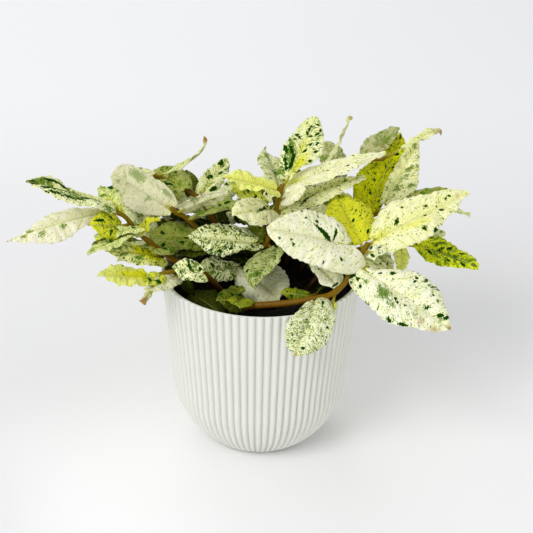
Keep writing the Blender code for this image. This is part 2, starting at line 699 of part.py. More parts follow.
def build_stem(stem, path, poses, parts):
    """A leafy stem: its tube and all of its blades, joined into one body."""
    thing = build_tube(stem, path, parts)
    blades = new_collection(stem.name + "_leaves")
    for number, leaf in enumerate(stem.leaves):
        pose = poses.get((stem.name, number))
        if pose:
            build_blade("%s_leaf_%d" % (stem.name, number), blade_rows(leaf, pose), blades)
    join = thing.modifiers.new("Leaves", "BOOLEAN")
    join.operation = "UNION"
    join.operand_type = "COLLECTION"
    join.collection = blades
    joined = applied_mesh(thing)
    if not is_closed(joined):
        join.solver = "MANIFOLD"
        joined = applied_mesh(thing)
    thing.data = joined
    thing.modifiers.clear()
    for blade in list(blades.objects):
        bpy.data.objects.remove(blade)
    bpy.data.collections.remove(blades)
    clean_slivers(thing.data)
    round_shading(thing)
    thing.data.materials.clear()
    thing.data.materials.append(principled(stem.name + "_finish", stem.colour, SATIN))


def main():
    """Clear the scene and build every piece."""
    for thing in list(bpy.data.objects):
        bpy.data.objects.remove(thing)
    parts = new_collection("potted_pellionia")
    cutters = new_collection("cutters")
    stems = SHOWN_STEMS + hidden_stems()
    paths, poses = lay_out(stems)
    build_pot(parts, cutters)
    build_soil(parts, cutters, stems)
    for stem in stems:
        build_stem(stem, paths[stem.name], poses, parts)


main()
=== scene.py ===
"""Looks of the potted pellionia: fine toothed and quilted leaves with painted variegation, smooth
stems, crumbly soil and a ribbed pot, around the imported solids.

Frame: metres, +Z up, origin at the centre of the pot's base, -Y towards the viewer. The plant's own
values are in millimetres, repeated from the part's source, and are scaled by MM.
"""

import math
import random
from collections import namedtuple

import bmesh
import bpy
import numpy as np
from mathutils import Matrix, Vector, noise
from mathutils.bvhtree import BVHTree


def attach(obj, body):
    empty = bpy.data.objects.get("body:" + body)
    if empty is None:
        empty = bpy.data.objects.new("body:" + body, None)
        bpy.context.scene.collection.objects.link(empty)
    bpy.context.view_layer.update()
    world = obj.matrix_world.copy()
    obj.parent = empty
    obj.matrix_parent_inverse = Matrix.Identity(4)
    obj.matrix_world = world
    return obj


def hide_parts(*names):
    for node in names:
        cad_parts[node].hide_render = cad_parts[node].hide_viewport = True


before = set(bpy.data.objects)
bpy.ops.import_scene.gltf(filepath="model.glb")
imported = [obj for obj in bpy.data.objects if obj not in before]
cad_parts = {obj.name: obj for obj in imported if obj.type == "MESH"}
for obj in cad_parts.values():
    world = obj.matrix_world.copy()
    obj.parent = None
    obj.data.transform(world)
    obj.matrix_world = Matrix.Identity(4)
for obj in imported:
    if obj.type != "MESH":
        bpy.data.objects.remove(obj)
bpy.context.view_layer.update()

MM = 0.001
BODY = "root"

# Camera, fitted to the photograph: its place in millimetres, and its turns in degrees.
CAMERA_DISTANCE = 900.0
CAMERA_TARGET_HEIGHT = 65.0
CAMERA_ELEVATION = 31.1
CAMERA_PITCH = 27.3
CAMERA_YAW = 0.27
CAMERA_ROLL = 1.17
SENSOR_WIDTH = 36.0
LENS = 83.6
CLIP_START = 0.05
CLIP_END = 30.0

# Pot: a straight flared wall above the waist, and one round arc from the waist to the foot.
POT_HEIGHT = 130.0
RIM_RADIUS = 70.0
WAIST_HEIGHT = 50.0
WAIST_RADIUS = 62.8
FOOT_ARC_RADIUS = 61.3
WALL = 3.0
FLOOR_THICKNESS = 5.0
RIBS = 78
GROOVE_FADE_HEIGHT = 10.0
GROOVE_LEFT_AT_FOOT = 0.25

# Soil.
GAP = 0.3
SOIL_TOP = 112.0
SOIL_RELIEF = 1.2
LUMP_TURNS = (0.21, 0.17, 0.34, 0.12)
LUMP_PHASE = 1.3
SMALL_LUMPS = 0.6
HOLE_DEPTH = 15.0

# Stems.
ROOT_RISE = 2.0
STEM_SPACING = 10.0
PATH_STEPS = 8
TIP_GIRTH = 0.62
TUBE_SIDES = 6

# Blades.
BLADE_THICKNESS = 0.8
PETIOLE = 4.6
PETIOLE_HALF_WIDTH = 1.2
TIP_HALF_WIDTH = 0.8
LOBE_START = {-1: 0.0, 1: 0.05}
LOBE_POWER = {-1: 0.6, 1: 0.75}
TIP_POWER = 0.8
FLARE = 0.05
TOOTH_OUT = 1.05
NOTCH_IN = 0.92
TOOTH_LEAN = 0.025
LAST_NOTCH = 0.98
NOTCH_PLACE = 1.9
TEETH = ((30, 2), (60, 3), (200, 4))
WAVES = 1.5
WAVE_PHASE = 1.3
WAVE_ONSET = 4.0
CURL_START = 0.6
MIDRIB_STEPS = 24

# Room kept between a blade and its neighbours while the plant is laid out.
CLEAR_GAP = 0.6
RIM_ROOM = 1.2
SOIL_ROOM = 3.0
KEEP_OUT_STEPS = 36
OWN_ROOT_ZONE = 0.2
TURNS = (0, 7, -7, 14, -14, 21, -21)
LIFTS = (0, 6, -6, 12, -12, 18, -18)
TWISTS = (0, 12, -12, 24, -24, 36, -36)
SHRINKS = (1.0, 0.86, 0.72)
NUDGE_SCALES = (9, 8, 15)
NUDGES_TRIED = 180

# Stems behind the ones that the photograph shows.
BACK_SEED = 5
BACK_AZIMUTHS = (86, 112, 140, 160)
BACK_ROOT_RADIUS = 44.0
BACK_GIRTH = 2.2
BACK_ROUTE = ((47, 121, 0.0), (56, 132, 0.5), (69, 138, 1.0), (83, 140, 1.0), (97, 136, 1.0))
BACK_TONES = ("cream", "olive", "pale", "streaked", "mottled")
BACK_LEAF_FRACTIONS = (0.42, 0.56, 0.70, 0.84, 0.97)

CREAM = "leaf_cream"
YELLOW_GREEN = "leaf_yellow"
GREY_GREEN = "leaf_grey"

# Small leaves inside the plant, most of them darkened with painted shade.
INNER_SEED = 3
INNER_FROM = 20
INNER_LEAVES = 4
INNER_FRACTIONS = (0.10, 0.46)
INNER_TONES = ("shade", "shade", "olive", "deep_shade")
INNER_LEAST_Y = 15.0
INNER_TURN = 137.5
INNER_RISE = (0, 26)
INNER_LENGTH = (28, 42)
INNER_WIDTH = (14, 20)
INNER_ROLL = (-14, 14)
INNER_ARCH = (10, 30)

Leaf = namedtuple("Leaf", "at heading rise length width roll arch fold curl wave tone",
                  defaults=(0, 12, 8, 0, 1.0, "cream"))
Stem = namedtuple("Stem", "name root girth slot route leaves")
Pose = namedtuple("Pose", "base along side up scale")
Row = namedtuple("Row", "left middle right normal")

# A leaf stands at a fraction of its stem's length. Heading 0 points to +X and 90 to the back,
# and a positive roll turns the blade's face to its right-hand side.
SHOWN_STEMS = [
    Stem("stem_front_right", (-22, -36), 2.6, CREAM,
         [(-17, -39, 120), (-4, -44, 125), (16, -48, 129.5), (31, -49, 133), (46, -47, 136),
          (56, -42, 143), (60, -38, 152), (67, -33, 161), (71, -29, 166)],
         [Leaf(0.58, -117, -36, 46, 32, roll=-22, arch=62, tone="speckled"),
          Leaf(0.86, -34, -19, 74, 37, roll=36, tone="blotched"),
          Leaf(0.92, -162, 23, 72, 34, roll=-50, arch=8, tone="plain"),
          Leaf(0.99, 18, 22, 78, 33, roll=28, tone="butter"),
          Leaf(0.95, 106, 26, 50, 32, roll=-8, tone="yellow"),
          Leaf(0.95, -29, 26, 18, 12, roll=35, tone="blotched"),
          Leaf(0.90, 38, -31, 30, 15, roll=32, tone="pale"),
          Leaf(0.67, -50, -35, 13, 9, tone="lemon"),
          Leaf(0.87, -10, -40, 12, 8, tone="yellow")]),
    Stem("stem_centre", (-9, 20), 2.3, CREAM,
         [(-8, 16, 121), (-5, 12, 131), (4, 5, 150), (8, 1, 166), (10, -4, 182), (12, -8, 193),
          (13, -8, 198)],
         [Leaf(0.10, -145, 9, 41, 20, roll=-32, tone="flecked"),
          Leaf(0.16, -56, -12, 50, 27, roll=24, tone="plain"),
          Leaf(0.42, -113, -13, 46, 25, roll=26, fold=26, tone="speckled_shade"),
          Leaf(0.38, -156, 18, 60, 27, roll=-36, arch=8, tone="flecked"),
          Leaf(0.47, 138, -10, 24, 14, roll=-22, tone="olive"),
          Leaf(0.52, -48, -16, 64, 28, roll=-7, tone="plain"),
          Leaf(0.60, 31, 4, 46, 20, roll=3, tone="cream"),
          Leaf(0.76, -133, 12, 40, 24, roll=-34, tone="cream"),
          Leaf(0.72, 18, 17, 68, 24, roll=2, tone="streaked"),
          Leaf(0.83, -28, 37, 26, 14, roll=46, tone="plain"),
          Leaf(0.88, 26, 10, 84, 26, roll=-2, tone="cream"),
          Leaf(0.94, -150, 24, 40, 19, roll=-34, fold=18, wave=2, tone="lemon"),
          Leaf(0.99, 60, 33, 60, 27, roll=18, arch=6, tone="streaked"),
          Leaf(0.91, 104, 16, 44, 22, roll=20, wave=2, tone="ashen")]),
    Stem("stem_left_centre", (-15, 29), 2.3, GREY_GREEN,
         [(-17, 25, 121), (-24, 17, 132), (-45, 10, 156), (-53, 8, 165), (-60, 6, 170),
          (-63, 5, 174)],
         [Leaf(0.80, -33, 11, 46, 21, roll=12, tone="dull"),
          Leaf(0.95, 140, 11, 62, 35, roll=105, tone="grey"),
          Leaf(0.93, -24, 24, 46, 18, roll=-48, tone="chalk"),
          Leaf(0.52, 172, 0, 44, 24, roll=-30, tone="dusky")]),
    Stem("stem_back_left", (-24, 36), 2.2, GREY_GREEN,
         [(-26, 38, 122), (-32, 40, 140), (-40, 42, 156), (-48, 43, 166), (-59, 46, 171),
          (-70, 50, 175), (-78, 52, 178)],
         [Leaf(0.76, 131, 10, 44, 23, roll=-4, tone="dull"),
          Leaf(0.99, -21, 43, 50, 14, roll=15, arch=-30, curl=-50, tone="pale"),
          Leaf(0.66, 102, 16, 30, 15, roll=30, tone="olive"),
          Leaf(0.60, 51, 34, 38, 16, roll=30, tone="streaked"),
          Leaf(0.56, -49, 14, 42, 17, roll=10, tone="dull"),
          Leaf(0.90, 92, -14, 42, 20, roll=6, tone="olive"),
          Leaf(0.98, 146, -12, 42, 20, roll=0, tone="pale")]),
    Stem("stem_left", (-36, 3), 2.3, CREAM,
         [(-39, 1, 121), (-48, -5, 132), (-62, -10, 142), (-70, -12, 150), (-77, -14, 157),
          (-85, -16, 166), (-92, -18, 177), (-99, -20, 182)],
         [Leaf(0.98, -147, 28, 70, 20, roll=-16, arch=6, tone="streaked"),
          Leaf(0.99, -142, 0, 77, 27, roll=-16, fold=4, tone="warm"),
          Leaf(0.84, -138, 22, 34, 20, roll=-50, tone="lively"),
          Leaf(0.96, 117, 8, 34, 15, roll=-16, tone="fresh"),
          Leaf(0.76, -32, 38, 24, 11, roll=38, wave=2, tone="yellow"),
          Leaf(0.75, -128, 3, 46, 14, roll=6, tone="fresh"),
          Leaf(0.52, -143, 16, 54, 22, roll=-22, tone="striped"),
          Leaf(0.64, 50, -14, 28, 14, roll=20, tone="dull")]),
    Stem("stem_left_low", (-26, -11), 2.1, YELLOW_GREEN,
         [(-30, -14, 123), (-39, -22, 137), (-48, -30, 144), (-58, -35, 145.5), (-66, -38, 145),
          (-73, -40, 143)],
         [Leaf(0.97, -144, 13, 50, 21, roll=-26, arch=6, wave=2, tone="lemon"),
          Leaf(0.88, -114, 4, 22, 13, roll=-34, tone="mottled"),
          Leaf(0.60, -128, 0, 38, 16, roll=-16, tone="chalk"),
          Leaf(0.38, -172, 18, 26, 14, roll=-40, tone="flecked"),
          Leaf(0.99, -113, -36, 20, 8, roll=-80, arch=50, tone="ashen")]),
    Stem("stem_right", (34, 2), 2.1, YELLOW_GREEN,
         [(39, 4, 121), (58, 10, 137), (78, 15, 142), (94, 18, 142), (104, 20, 142)],
         [Leaf(0.99, -40, 1, 57, 22, roll=26, tone="vivid"),
          Leaf(0.93, -96, -16, 26, 12, roll=-20, tone="lemon"),
          Leaf(0.97, 30, 0, 50, 20, roll=14, tone="pale"),
          Leaf(0.80, 78, 10, 42, 20, roll=8, tone="olive"),
          Leaf(0.62, -60, -4, 34, 16, roll=20, tone="pale")]),
    Stem("stem_back_right", (28, 28), 2.3, YELLOW_GREEN,
         [(33, 30, 121), (50, 37, 137), (66, 42, 147), (80, 45, 152), (92, 47, 158)],
         [Leaf(0.78, 66, 32, 80, 38, roll=20, arch=8, tone="gold"),
          Leaf(0.97, 58, 33, 64, 26, roll=6, arch=8, tone="light"),
          Leaf(0.99, 12, 20, 46, 19, roll=12, tone="dull"),
          Leaf(0.98, -14, 6, 60, 18, roll=10, tone="pale"),
          Leaf(0.68, 112, 8, 46, 20, roll=-6, tone="fresh")]),
    Stem("stem_back_centre", (17, 36), 2.3, GREY_GREEN,
         [(19, 39, 122), (26, 47, 142), (38, 53, 162), (50, 58, 176), (62, 64, 183),
          (74, 67, 186), (88, 66, 188)],
         [Leaf(0.86, 52, 14, 50, 22, roll=4, tone="drab"),
          Leaf(0.99, 36, 6, 50, 16, roll=8, curl=40, tone="light"),
          Leaf(0.62, 44, 34, 48, 11, roll=-50, arch=-16, tone="pale"),
          Leaf(0.66, 96, 14, 40, 20, roll=0, tone="drab"),
          Leaf(0.50, 140, 14, 46, 21, roll=-12, tone="olive")]),
    Stem("shoot_front", (-12, -19), 1.6, YELLOW_GREEN,
         [(-12, -22, 118), (-14, -27, 123), (-16, -31, 126)],
         [Leaf(0.90, -150, 16, 22, 13, roll=-40, wave=2, tone="olive"),
          Leaf(0.97, -88, 6, 20, 13, roll=-10, wave=2, tone="moss"),
          Leaf(0.70, -30, 30, 22, 12, roll=30, tone="olive")]),
    Stem("shoot_left", (-47, -8), 1.6, GREY_GREEN,
         [(-47, -11, 117), (-46, -16, 119), (-43, -21, 120)],
         [Leaf(0.96, -50, -2, 29, 20, roll=10, tone="shade"),
          Leaf(0.80, 160, 34, 30, 16, roll=-30, tone="shade")]),
    Stem("shoot_right", (32, -20), 1.6, GREY_GREEN,
         [(33, -22, 118), (36, -26, 123), (38, -29, 127)],
         [Leaf(0.97, -160, 16, 28, 13, roll=-30, tone="moss"),
          Leaf(0.70, 40, 30, 30, 14, roll=20, tone="deep_shade")]),
]

# Leaves that the photograph shows in part, between the ones that the solids hold.
MORE_LEAVES = {
    "stem_left": [Leaf(0.80, -157, -4, 36, 11, roll=-12, tone="fresh")],
}


def outer_radius(height):
    """Radius of the pot's outer wall at a height, before the grooves are pressed in."""
    if height >= WAIST_HEIGHT:
        flare = (RIM_RADIUS - WAIST_RADIUS) / (POT_HEIGHT - WAIST_HEIGHT)
        return WAIST_RADIUS + flare * (height - WAIST_HEIGHT)
    below = WAIST_HEIGHT - height
    return WAIST_RADIUS - FOOT_ARC_RADIUS + math.sqrt(FOOT_ARC_RADIUS ** 2 - below ** 2)


def spline_point(a, b, c, d, t):
    """Point between b and c on a smooth curve that passes a, b, c and d."""
    return 0.5 * (2 * b + (c - a) * t + (2 * a - 5 * b + 4 * c - d) * t ** 2
                  + (3 * b - a - 3 * c + d) * t ** 3)


def stem_path(stem):
    """Fine points of the stem's centre line, from just above the soil to its tip."""
    start = Vector((*stem.root, SOIL_TOP + ROOT_RISE))
    knots = [start - Vector((0, 0, STEM_SPACING)), start] + [Vector(point) for point in stem.route]
    knots.append(2 * knots[-1] - knots[-2])
    path = []
    for i in range(1, len(knots) - 2):
        path += [spline_point(*knots[i - 1:i + 3], k / PATH_STEPS) for k in range(PATH_STEPS)]
    path.append(knots[-2])
    return path


def path_length(path):
    """Length of a line of points."""
    return sum((q - p).length for p, q in zip(path, path[1:]))


def on_path(path, fraction):
    """Point at a fraction of the path's length."""
    left = fraction * path_length(path)
    for p, q in zip(path, path[1:]):
        step = (q - p).length
        if left <= step:
            return p.lerp(q, left / step)
        left -= step
    return path[-1].copy()


def midrib_curve(leaf):
    """Side view of the midrib as (forward, upward, slope), with its chord from 0 to 1."""
    points = [(0.0, 0.0)]
    slopes = []
    for i in range(MIDRIB_STEPS):
        u = (i + 0.5) / MIDRIB_STEPS
        late = max(0.0, (u - CURL_START) / (1 - CURL_START))
        slope = -math.radians(leaf.arch * u + leaf.curl * late ** 2)
        slopes.append(slope)
        x, z = points[-1]
        points.append((x + math.cos(slope), z + math.sin(slope)))
    chord = math.hypot(*points[-1])
    tilt = math.atan2(points[-1][1], points[-1][0])
    curve = []
    for i, (x, z) in enumerate(points):
        forward = (x * math.cos(tilt) + z * math.sin(tilt)) / chord
        upward = (z * math.cos(tilt) - x * math.sin(tilt)) / chord
        curve.append((forward, upward, slopes[min(i, MIDRIB_STEPS - 1)] - tilt))
    return curve


def on_midrib(curve, u):
    """Forward, upward and slope of the midrib at u, from 0 at the stem to 1 at the tip."""
    place = min(max(u, 0.0), 1.0) * MIDRIB_STEPS
    i = min(int(place), MIDRIB_STEPS - 1)
    t = place - i
    return tuple(a + (b - a) * t for a, b in zip(curve[i], curve[i + 1]))


def half_outline(t, hand):
    """Half width on one side of the midrib, 1 at its widest; the left lobe is the fuller one."""
    power = LOBE_POWER[hand]
    t = max(0.0, (t - LOBE_START[hand]) / (1 - LOBE_START[hand]))
    widest = power / (power + TIP_POWER)
    return (t / widest) ** power * ((1 - t) / (1 - widest)) ** TIP_POWER


def tooth_rows(length):
    """Fractions of the blade at which its edge turns, each with its reach and forward lean."""
    teeth = next(count for longest, count in TEETH if length < longest)
    pitch = (LAST_NOTCH - FLARE) / (2 * teeth)
    rows = [(FLARE, 1.0, 0.0)]
    for i in range(teeth):
        rows.append((FLARE + pitch * (2 * i + 1), TOOTH_OUT, TOOTH_LEAN))
        rows.append((FLARE + pitch * (2 * i + NOTCH_PLACE), NOTCH_IN, 0.0))
    return rows


def pose_leaf(leaf, base, nudge=(0, 0, 0), scale=1.0):
    """Place and directions of a leaf, bent by a nudge of heading, rise and roll."""
    heading = math.radians(leaf.heading + nudge[0])
    rise = math.radians(leaf.rise + nudge[1])
    along = Vector((math.cos(heading) * math.cos(rise), math.sin(heading) * math.cos(rise),
                    math.sin(rise)))
    side = Vector((math.sin(heading), -math.cos(heading), 0.0))
    spin = Matrix.Rotation(math.radians(leaf.roll + nudge[2]), 3, along)
    return Pose(base, along, spin @ side, spin @ side.cross(along), scale)


def blade_rows(leaf, pose):
    """Rows of a blade: its two edges, its midrib and its normal, from the stem's axis to the tip."""
    length = leaf.length * pose.scale
    foot = PETIOLE / length
    curve = midrib_curve(leaf)
    fold = math.radians(leaf.fold)

    def row(u, t, reach, lean, flat):
        """The row at u of the midrib and t of the blade, flat on the stalk."""
        forward, upward, slope = on_midrib(curve, u)
        middle = pose.base + length * (pose.along * forward + pose.up * upward)
        tangent = pose.along * math.cos(slope) + pose.up * math.sin(slope)
        normal = pose.up * math.cos(slope) - pose.along * math.sin(slope)
        edges = []
        for hand in (-1, 1):
            if flat:
                edges.append(middle + pose.side * hand * flat)
                continue
            wide = max(PETIOLE_HALF_WIDTH,
                       0.5 * leaf.width * pose.scale * half_outline(t, hand) * reach)
            ripple = leaf.wave * math.sin(math.tau * WAVES * t + WAVE_PHASE * hand)
            edges.append(middle + pose.side * hand * wide * math.cos(fold)
                         + normal * (wide * math.sin(fold) + ripple * min(1.0, WAVE_ONSET * t))
                         + tangent * lean * length)
        return Row(edges[0], middle, edges[1], normal)

    rows = [row(0.0, 0.0, 1.0, 0.0, PETIOLE_HALF_WIDTH), row(foot, 0.0, 1.0, 0.0, PETIOLE_HALF_WIDTH)]
    for t, reach, lean in tooth_rows(leaf.length):
        rows.append(row(foot + (1 - foot) * t, t, reach, lean, 0.0))
    rows.append(row(1.0, 1.0, 1.0, 0.0, TIP_HALF_WIDTH))
    return rows


def sheet_faces(count):
    """Triangles of a sheet with count rows of three points, alike on both sides of the midrib."""
    faces = []
    for i in range(0, 3 * (count - 1), 3):
        faces += [(i, i + 1, i + 3), (i + 1, i + 4, i + 3), (i + 1, i + 2, i + 5), (i + 1, i + 5, i + 4)]
    return faces


def blade_tree(rows):
    """Search tree of a blade's closed shell, grown by the room that its neighbours leave it."""
    half = BLADE_THICKNESS / 2 + CLEAR_GAP
    points = []
    for lift in (half, -half):
        for row in rows:
            across = (row.right - row.left).normalized() * CLEAR_GAP
            points += [row.left - across + row.normal * lift, row.middle + row.normal * lift,
                       row.right + across + row.normal * lift]
    sheet = sheet_faces(len(rows))
    shift = 3 * len(rows)
    faces = sheet + [tuple(i + shift for i in face) for face in sheet]
    for i in range(0, shift - 3, 3):
        for edge in (i, i + 2):
            faces += [(edge, edge + 3, edge + shift), (edge + 3, edge + 3 + shift, edge + shift)]
    return BVHTree.FromPolygons(points, faces), box_of(points)


def box_of(points):
    """Lowest and highest corner of some points."""
    return (Vector(map(min, zip(*points))), Vector(map(max, zip(*points))))


def boxes_meet(a, b):
    """Whether two boxes touch."""
    return all(a[0][i] <= b[1][i] and b[0][i] <= a[1][i] for i in range(3))


def lathe_tree(profile, steps):
    """Search tree of a profile turned about the pot's axis."""
    points = [(r * math.cos(math.tau * k / steps), r * math.sin(math.tau * k / steps), z)
              for r, z in profile for k in range(steps)]
    return BVHTree.FromPolygons(points, grid_faces(len(profile), steps, True).tolist()), box_of(points)


def stem_tree(stem, path):
    """Search tree of a stem's tube, grown by the room that leaves keep from it."""
    reach = stem.girth + CLEAR_GAP
    points = []
    for i, place in enumerate(path):
        ahead = (path[min(i + 1, len(path) - 1)] - path[max(i - 1, 0)]).normalized()
        across = ahead.orthogonal().normalized() * reach
        upright = ahead.cross(across)
        for k in range(TUBE_SIDES):
            angle = math.tau * k / TUBE_SIDES
            points.append(place + across * math.cos(angle) + upright * math.sin(angle))
    faces = grid_faces(len(path), TUBE_SIDES, True).tolist()
    return BVHTree.FromPolygons(points, faces), box_of(points)


def nudges():
    """Small turns of heading, rise and roll, the slightest first."""
    tried = [(turn, lift, twist) for turn in TURNS for lift in LIFTS for twist in TWISTS]
    tried.sort(key=lambda nudge: sum((a / b) ** 2 for a, b in zip(nudge, NUDGE_SCALES)))
    return tried[:NUDGES_TRIED]


def meets(tree_and_box, others):
    """Whether a shell touches any of the others."""
    tree, box = tree_and_box
    return any(boxes_meet(box, other_box) and tree.overlap(other) for other, other_box in others)


def lay_out(stems, inner):
    """Pose of every leaf: as listed, or bent just enough to clear what stands near it."""
    paths = {stem.name: stem_path(stem) for stem in stems}
    tubes = {stem.name: stem_tree(stem, paths[stem.name]) for stem in stems}
    keep_out = lathe_tree([(0.01, SOIL_TOP + SOIL_ROOM),
                           (RIM_RADIUS - WALL - RIM_ROOM, SOIL_TOP + SOIL_ROOM),
                           (RIM_RADIUS - WALL - RIM_ROOM, POT_HEIGHT + RIM_ROOM),
                           (RIM_RADIUS + RIM_ROOM, POT_HEIGHT + RIM_ROOM),
                           (WAIST_RADIUS + RIM_ROOM, WAIST_HEIGHT)], KEEP_OUT_STEPS)
    placed = []
    poses = {}
    leaves = [(stem, number, leaf) for stem in stems for number, leaf in enumerate(stem.leaves)]
    leaves += [(stem, INNER_FROM + number, leaf) for stem in stems
               for number, leaf in enumerate(inner.get(stem.name, ()))]
    for stem, number, leaf in leaves:
        base = on_path(paths[stem.name], leaf.at)
        pose = clear_pose(stem, leaf, base, placed, tubes, keep_out)
        if pose:
            rows = blade_rows(leaf, pose)
            outer = rows[1 + round(OWN_ROOT_ZONE * len(rows)):]
            placed.append((stem.name, blade_tree(rows[1:]), blade_tree(outer)))
            poses[stem.name, number] = pose
    return paths, poses


def clear_pose(stem, leaf, base, placed, tubes, keep_out):
    """First pose of a leaf, from the slightest nudge on, that crosses nothing; None if all do."""
    others = [whole for name, whole, outer in placed if name != stem.name]
    others += [tube for name, tube in tubes.items() if name != stem.name] + [keep_out]
    kin = [outer for name, whole, outer in placed if name == stem.name] + [tubes[stem.name]]
    for scale in SHRINKS:
        for nudge in nudges():
            pose = pose_leaf(leaf, base, nudge, scale)
            rows = blade_rows(leaf, pose)
            if meets(blade_tree(rows[1 + round(OWN_ROOT_ZONE * len(rows)):]), kin):
                continue
            if not meets(blade_tree(rows[1:]), others):
                return pose
    return None


def inner_leaves(stems):
    """The leaves that the solids leave out, and small shaded ones low on the stems, by stem."""
    draw = random.Random(INNER_SEED)
    inner = {name: list(leaves) for name, leaves in MORE_LEAVES.items()}
    for stem in stems:
        if stem.name.startswith("shoot") or stem.root[1] < INNER_LEAST_Y:
            continue
        turn = draw.uniform(0, 360)
        leaves = []
        for i in range(INNER_LEAVES):
            at = INNER_FRACTIONS[0] + (INNER_FRACTIONS[1] - INNER_FRACTIONS[0]) * i / (INNER_LEAVES - 1)
            leaves.append(Leaf(at, turn + INNER_TURN * i, draw.uniform(*INNER_RISE),
                               draw.uniform(*INNER_LENGTH), draw.uniform(*INNER_WIDTH),
                               roll=draw.uniform(*INNER_ROLL), arch=draw.uniform(*INNER_ARCH),
                               tone=draw.choice(INNER_TONES)))
        inner[stem.name] = inner.get(stem.name, []) + leaves
    return inner


def hidden_stems():
    """Leafy stems behind the shown ones, each arching out over the rim along its own azimuth."""
    draw = random.Random(BACK_SEED)
    stems = []
    for number, azimuth in enumerate(BACK_AZIMUTHS, 1):
        lean = math.radians(azimuth)
        root = (BACK_ROOT_RADIUS * math.cos(lean), BACK_ROOT_RADIUS * math.sin(lean))
        high = draw.uniform(0, 6)
        sway = draw.uniform(-8, 8)
        route = []
        for reach, height, share in BACK_ROUTE:
            turn = lean + math.radians(sway * (reach - BACK_ROOT_RADIUS) / BACK_ROOT_RADIUS)
            route.append((reach * math.cos(turn), reach * math.sin(turn), height + share * high))
        leaves = []
        for i, at in enumerate(BACK_LEAF_FRACTIONS):
            hand = 1 if i % 2 else -1
            spread = draw.uniform(48, 66) * (1 - 0.5 * at)
            leaves.append(Leaf(at, azimuth + hand * spread, draw.uniform(-4, 14),
                               draw.uniform(40, 58), draw.uniform(18, 24),
                               roll=hand * draw.uniform(-4, 14), arch=draw.uniform(16, 30),
                               tone=draw.choice(BACK_TONES)))
        stems.append(Stem("stem_behind_%d" % number, root, BACK_GIRTH,
                          (CREAM, GREY_GREEN)[number % 2], route, leaves))
    return stems


# Fine blades: their grid, their thickness and their edge, in millimetres.
FINE_ROW_PITCH = 0.9
FINE_COLUMN_PITCH = 1.3
LEAST_ROWS = 14
LEAST_COLUMNS = 5
FINE_THICKNESS = 0.55
THIN_EDGE = 0.5
LEAST_HALF_WIDTH = 0.5
MOST_REACH = 1.03
NEAR_POWER = 0.62
TOOTH_PITCH = 5.2
LEAST_TEETH = 4
TOOTH_DEPTH = 0.9
TOOTH_DEPTH_BY_WAVE = (0.6, 0.5)
TEETH_FROM = (0.1, 0.35)
TOOTH_SKEW = 1.4
TOOTH_STAGGER = 0.35
TOOTH_MEAN = 0.6
EDGE_SWAY = 0.025
EDGE_SWAY_TURNS = 11
EAR_END = 0.26
EAR_POWER = 1.5

# How a fine blade swells, droops, puckers and waves, in millimetres or as a share of its half width.
BULGE = 0.17
BULGE_POWER = 0.8
DROOP = 0.10
TIP_DROOP_FROM = 0.72
VEIN_SLANT = 0.62
VEINS_A_SIDE = 8
VEIN_STAGGER = 0.25
VEIN_DRIFT = 0.22
VEIN_TURNS = (1.0, 5.0)
VEIN_BENDS = (0.18, 0.30)
QUILT_HEIGHT = 0.48
QUILT_POWER = 0.7
QUILT_MEAN = 0.6
QUILT_FULL_WIDTH = 12
QUILT_FROM = (0.04, 0.3)
QUILT_FADE = 0.7
MIDRIB_GROOVE = 0.6
MIDRIB_RIDGE = 0.6
MIDRIB_WIDTH = 1.1
GROOVE_TAPER = 0.6
RIDGE_TAPER = 0.75
CRINKLE = 0.50
CRINKLES = 7
CRINKLE_TURNS = 0.16
CRINKLE_STEP = 1.32
CRINKLE_FADE = 1.28
CRINKLE_FROM = (0.0, 0.5)
RUFFLE = 0.55
RUFFLE_TURNS = (0.5, 0.8)
WHOLE_TURN = 6.3
TWIST = 5.0
TWIST_CENTRE = 0.3
WASH_WIDTH = 0.35
WASH_TAPER = 0.6
FLECK_MARK = 0.6
SEEDS = (0, 100)
SHADES = (0.93, 1.05)

# Ranges of a leaf's own marks: along the blade, across it as a share of its half width, half length,
# half width in millimetres and outward lean in degrees. Streaks and patches have their half length
# as a share of the blade's, and blotches have it in millimetres.
STREAK_RANGES = ((0.1, 0.85), (-0.7, 0.7), (0.04, 0.11), (0.6, 1.5), (20, 50))
BLOTCH_RANGES = ((0.12, 0.85), (-0.9, 0.9), (1.0, 2.4), (0.8, 1.6), (0, 70))
PATCH_RANGES = ((0.15, 0.85), (-0.7, 0.7), (0.08, 0.16), (2, 5), (20, 50))
PATCHES = 2
PATCH_STRENGTH = 0.8
PATCHES_ABOVE = 0.2
MARK_CORE = 1.25

# Leaf stalks.
PETIOLE_RADII = (1.25, 0.9)
PETIOLE_SINK = 0.5
PETIOLE_SAG = 0.8
PETIOLE_STEPS = 7
PETIOLE_SIDES = 8
PETIOLE_UNDER = 1.8
PETIOLE_YOUTH = (0.45, 0.3, 0.4)
END_SHARE = 0.5

# Fine stems.
FINE_RING_PITCH = 1.6
LEAST_RINGS = 4
FINE_SIDES = 14
NODE_SWELLING = 0.16
NODE_REACH = 2.2
STEM_YOUTH = 0.75

# What the materials read from the meshes: place on the blade; flecks, mottling and dark marks; yellow
# wash, brown and underside; ground colour; side veins; net, size of flecks and their green.
FIELDS = ("blade", "paint", "wash", "tint", "veins", "style")
BLADE_SLOT = 0
STEM_SLOT = 1

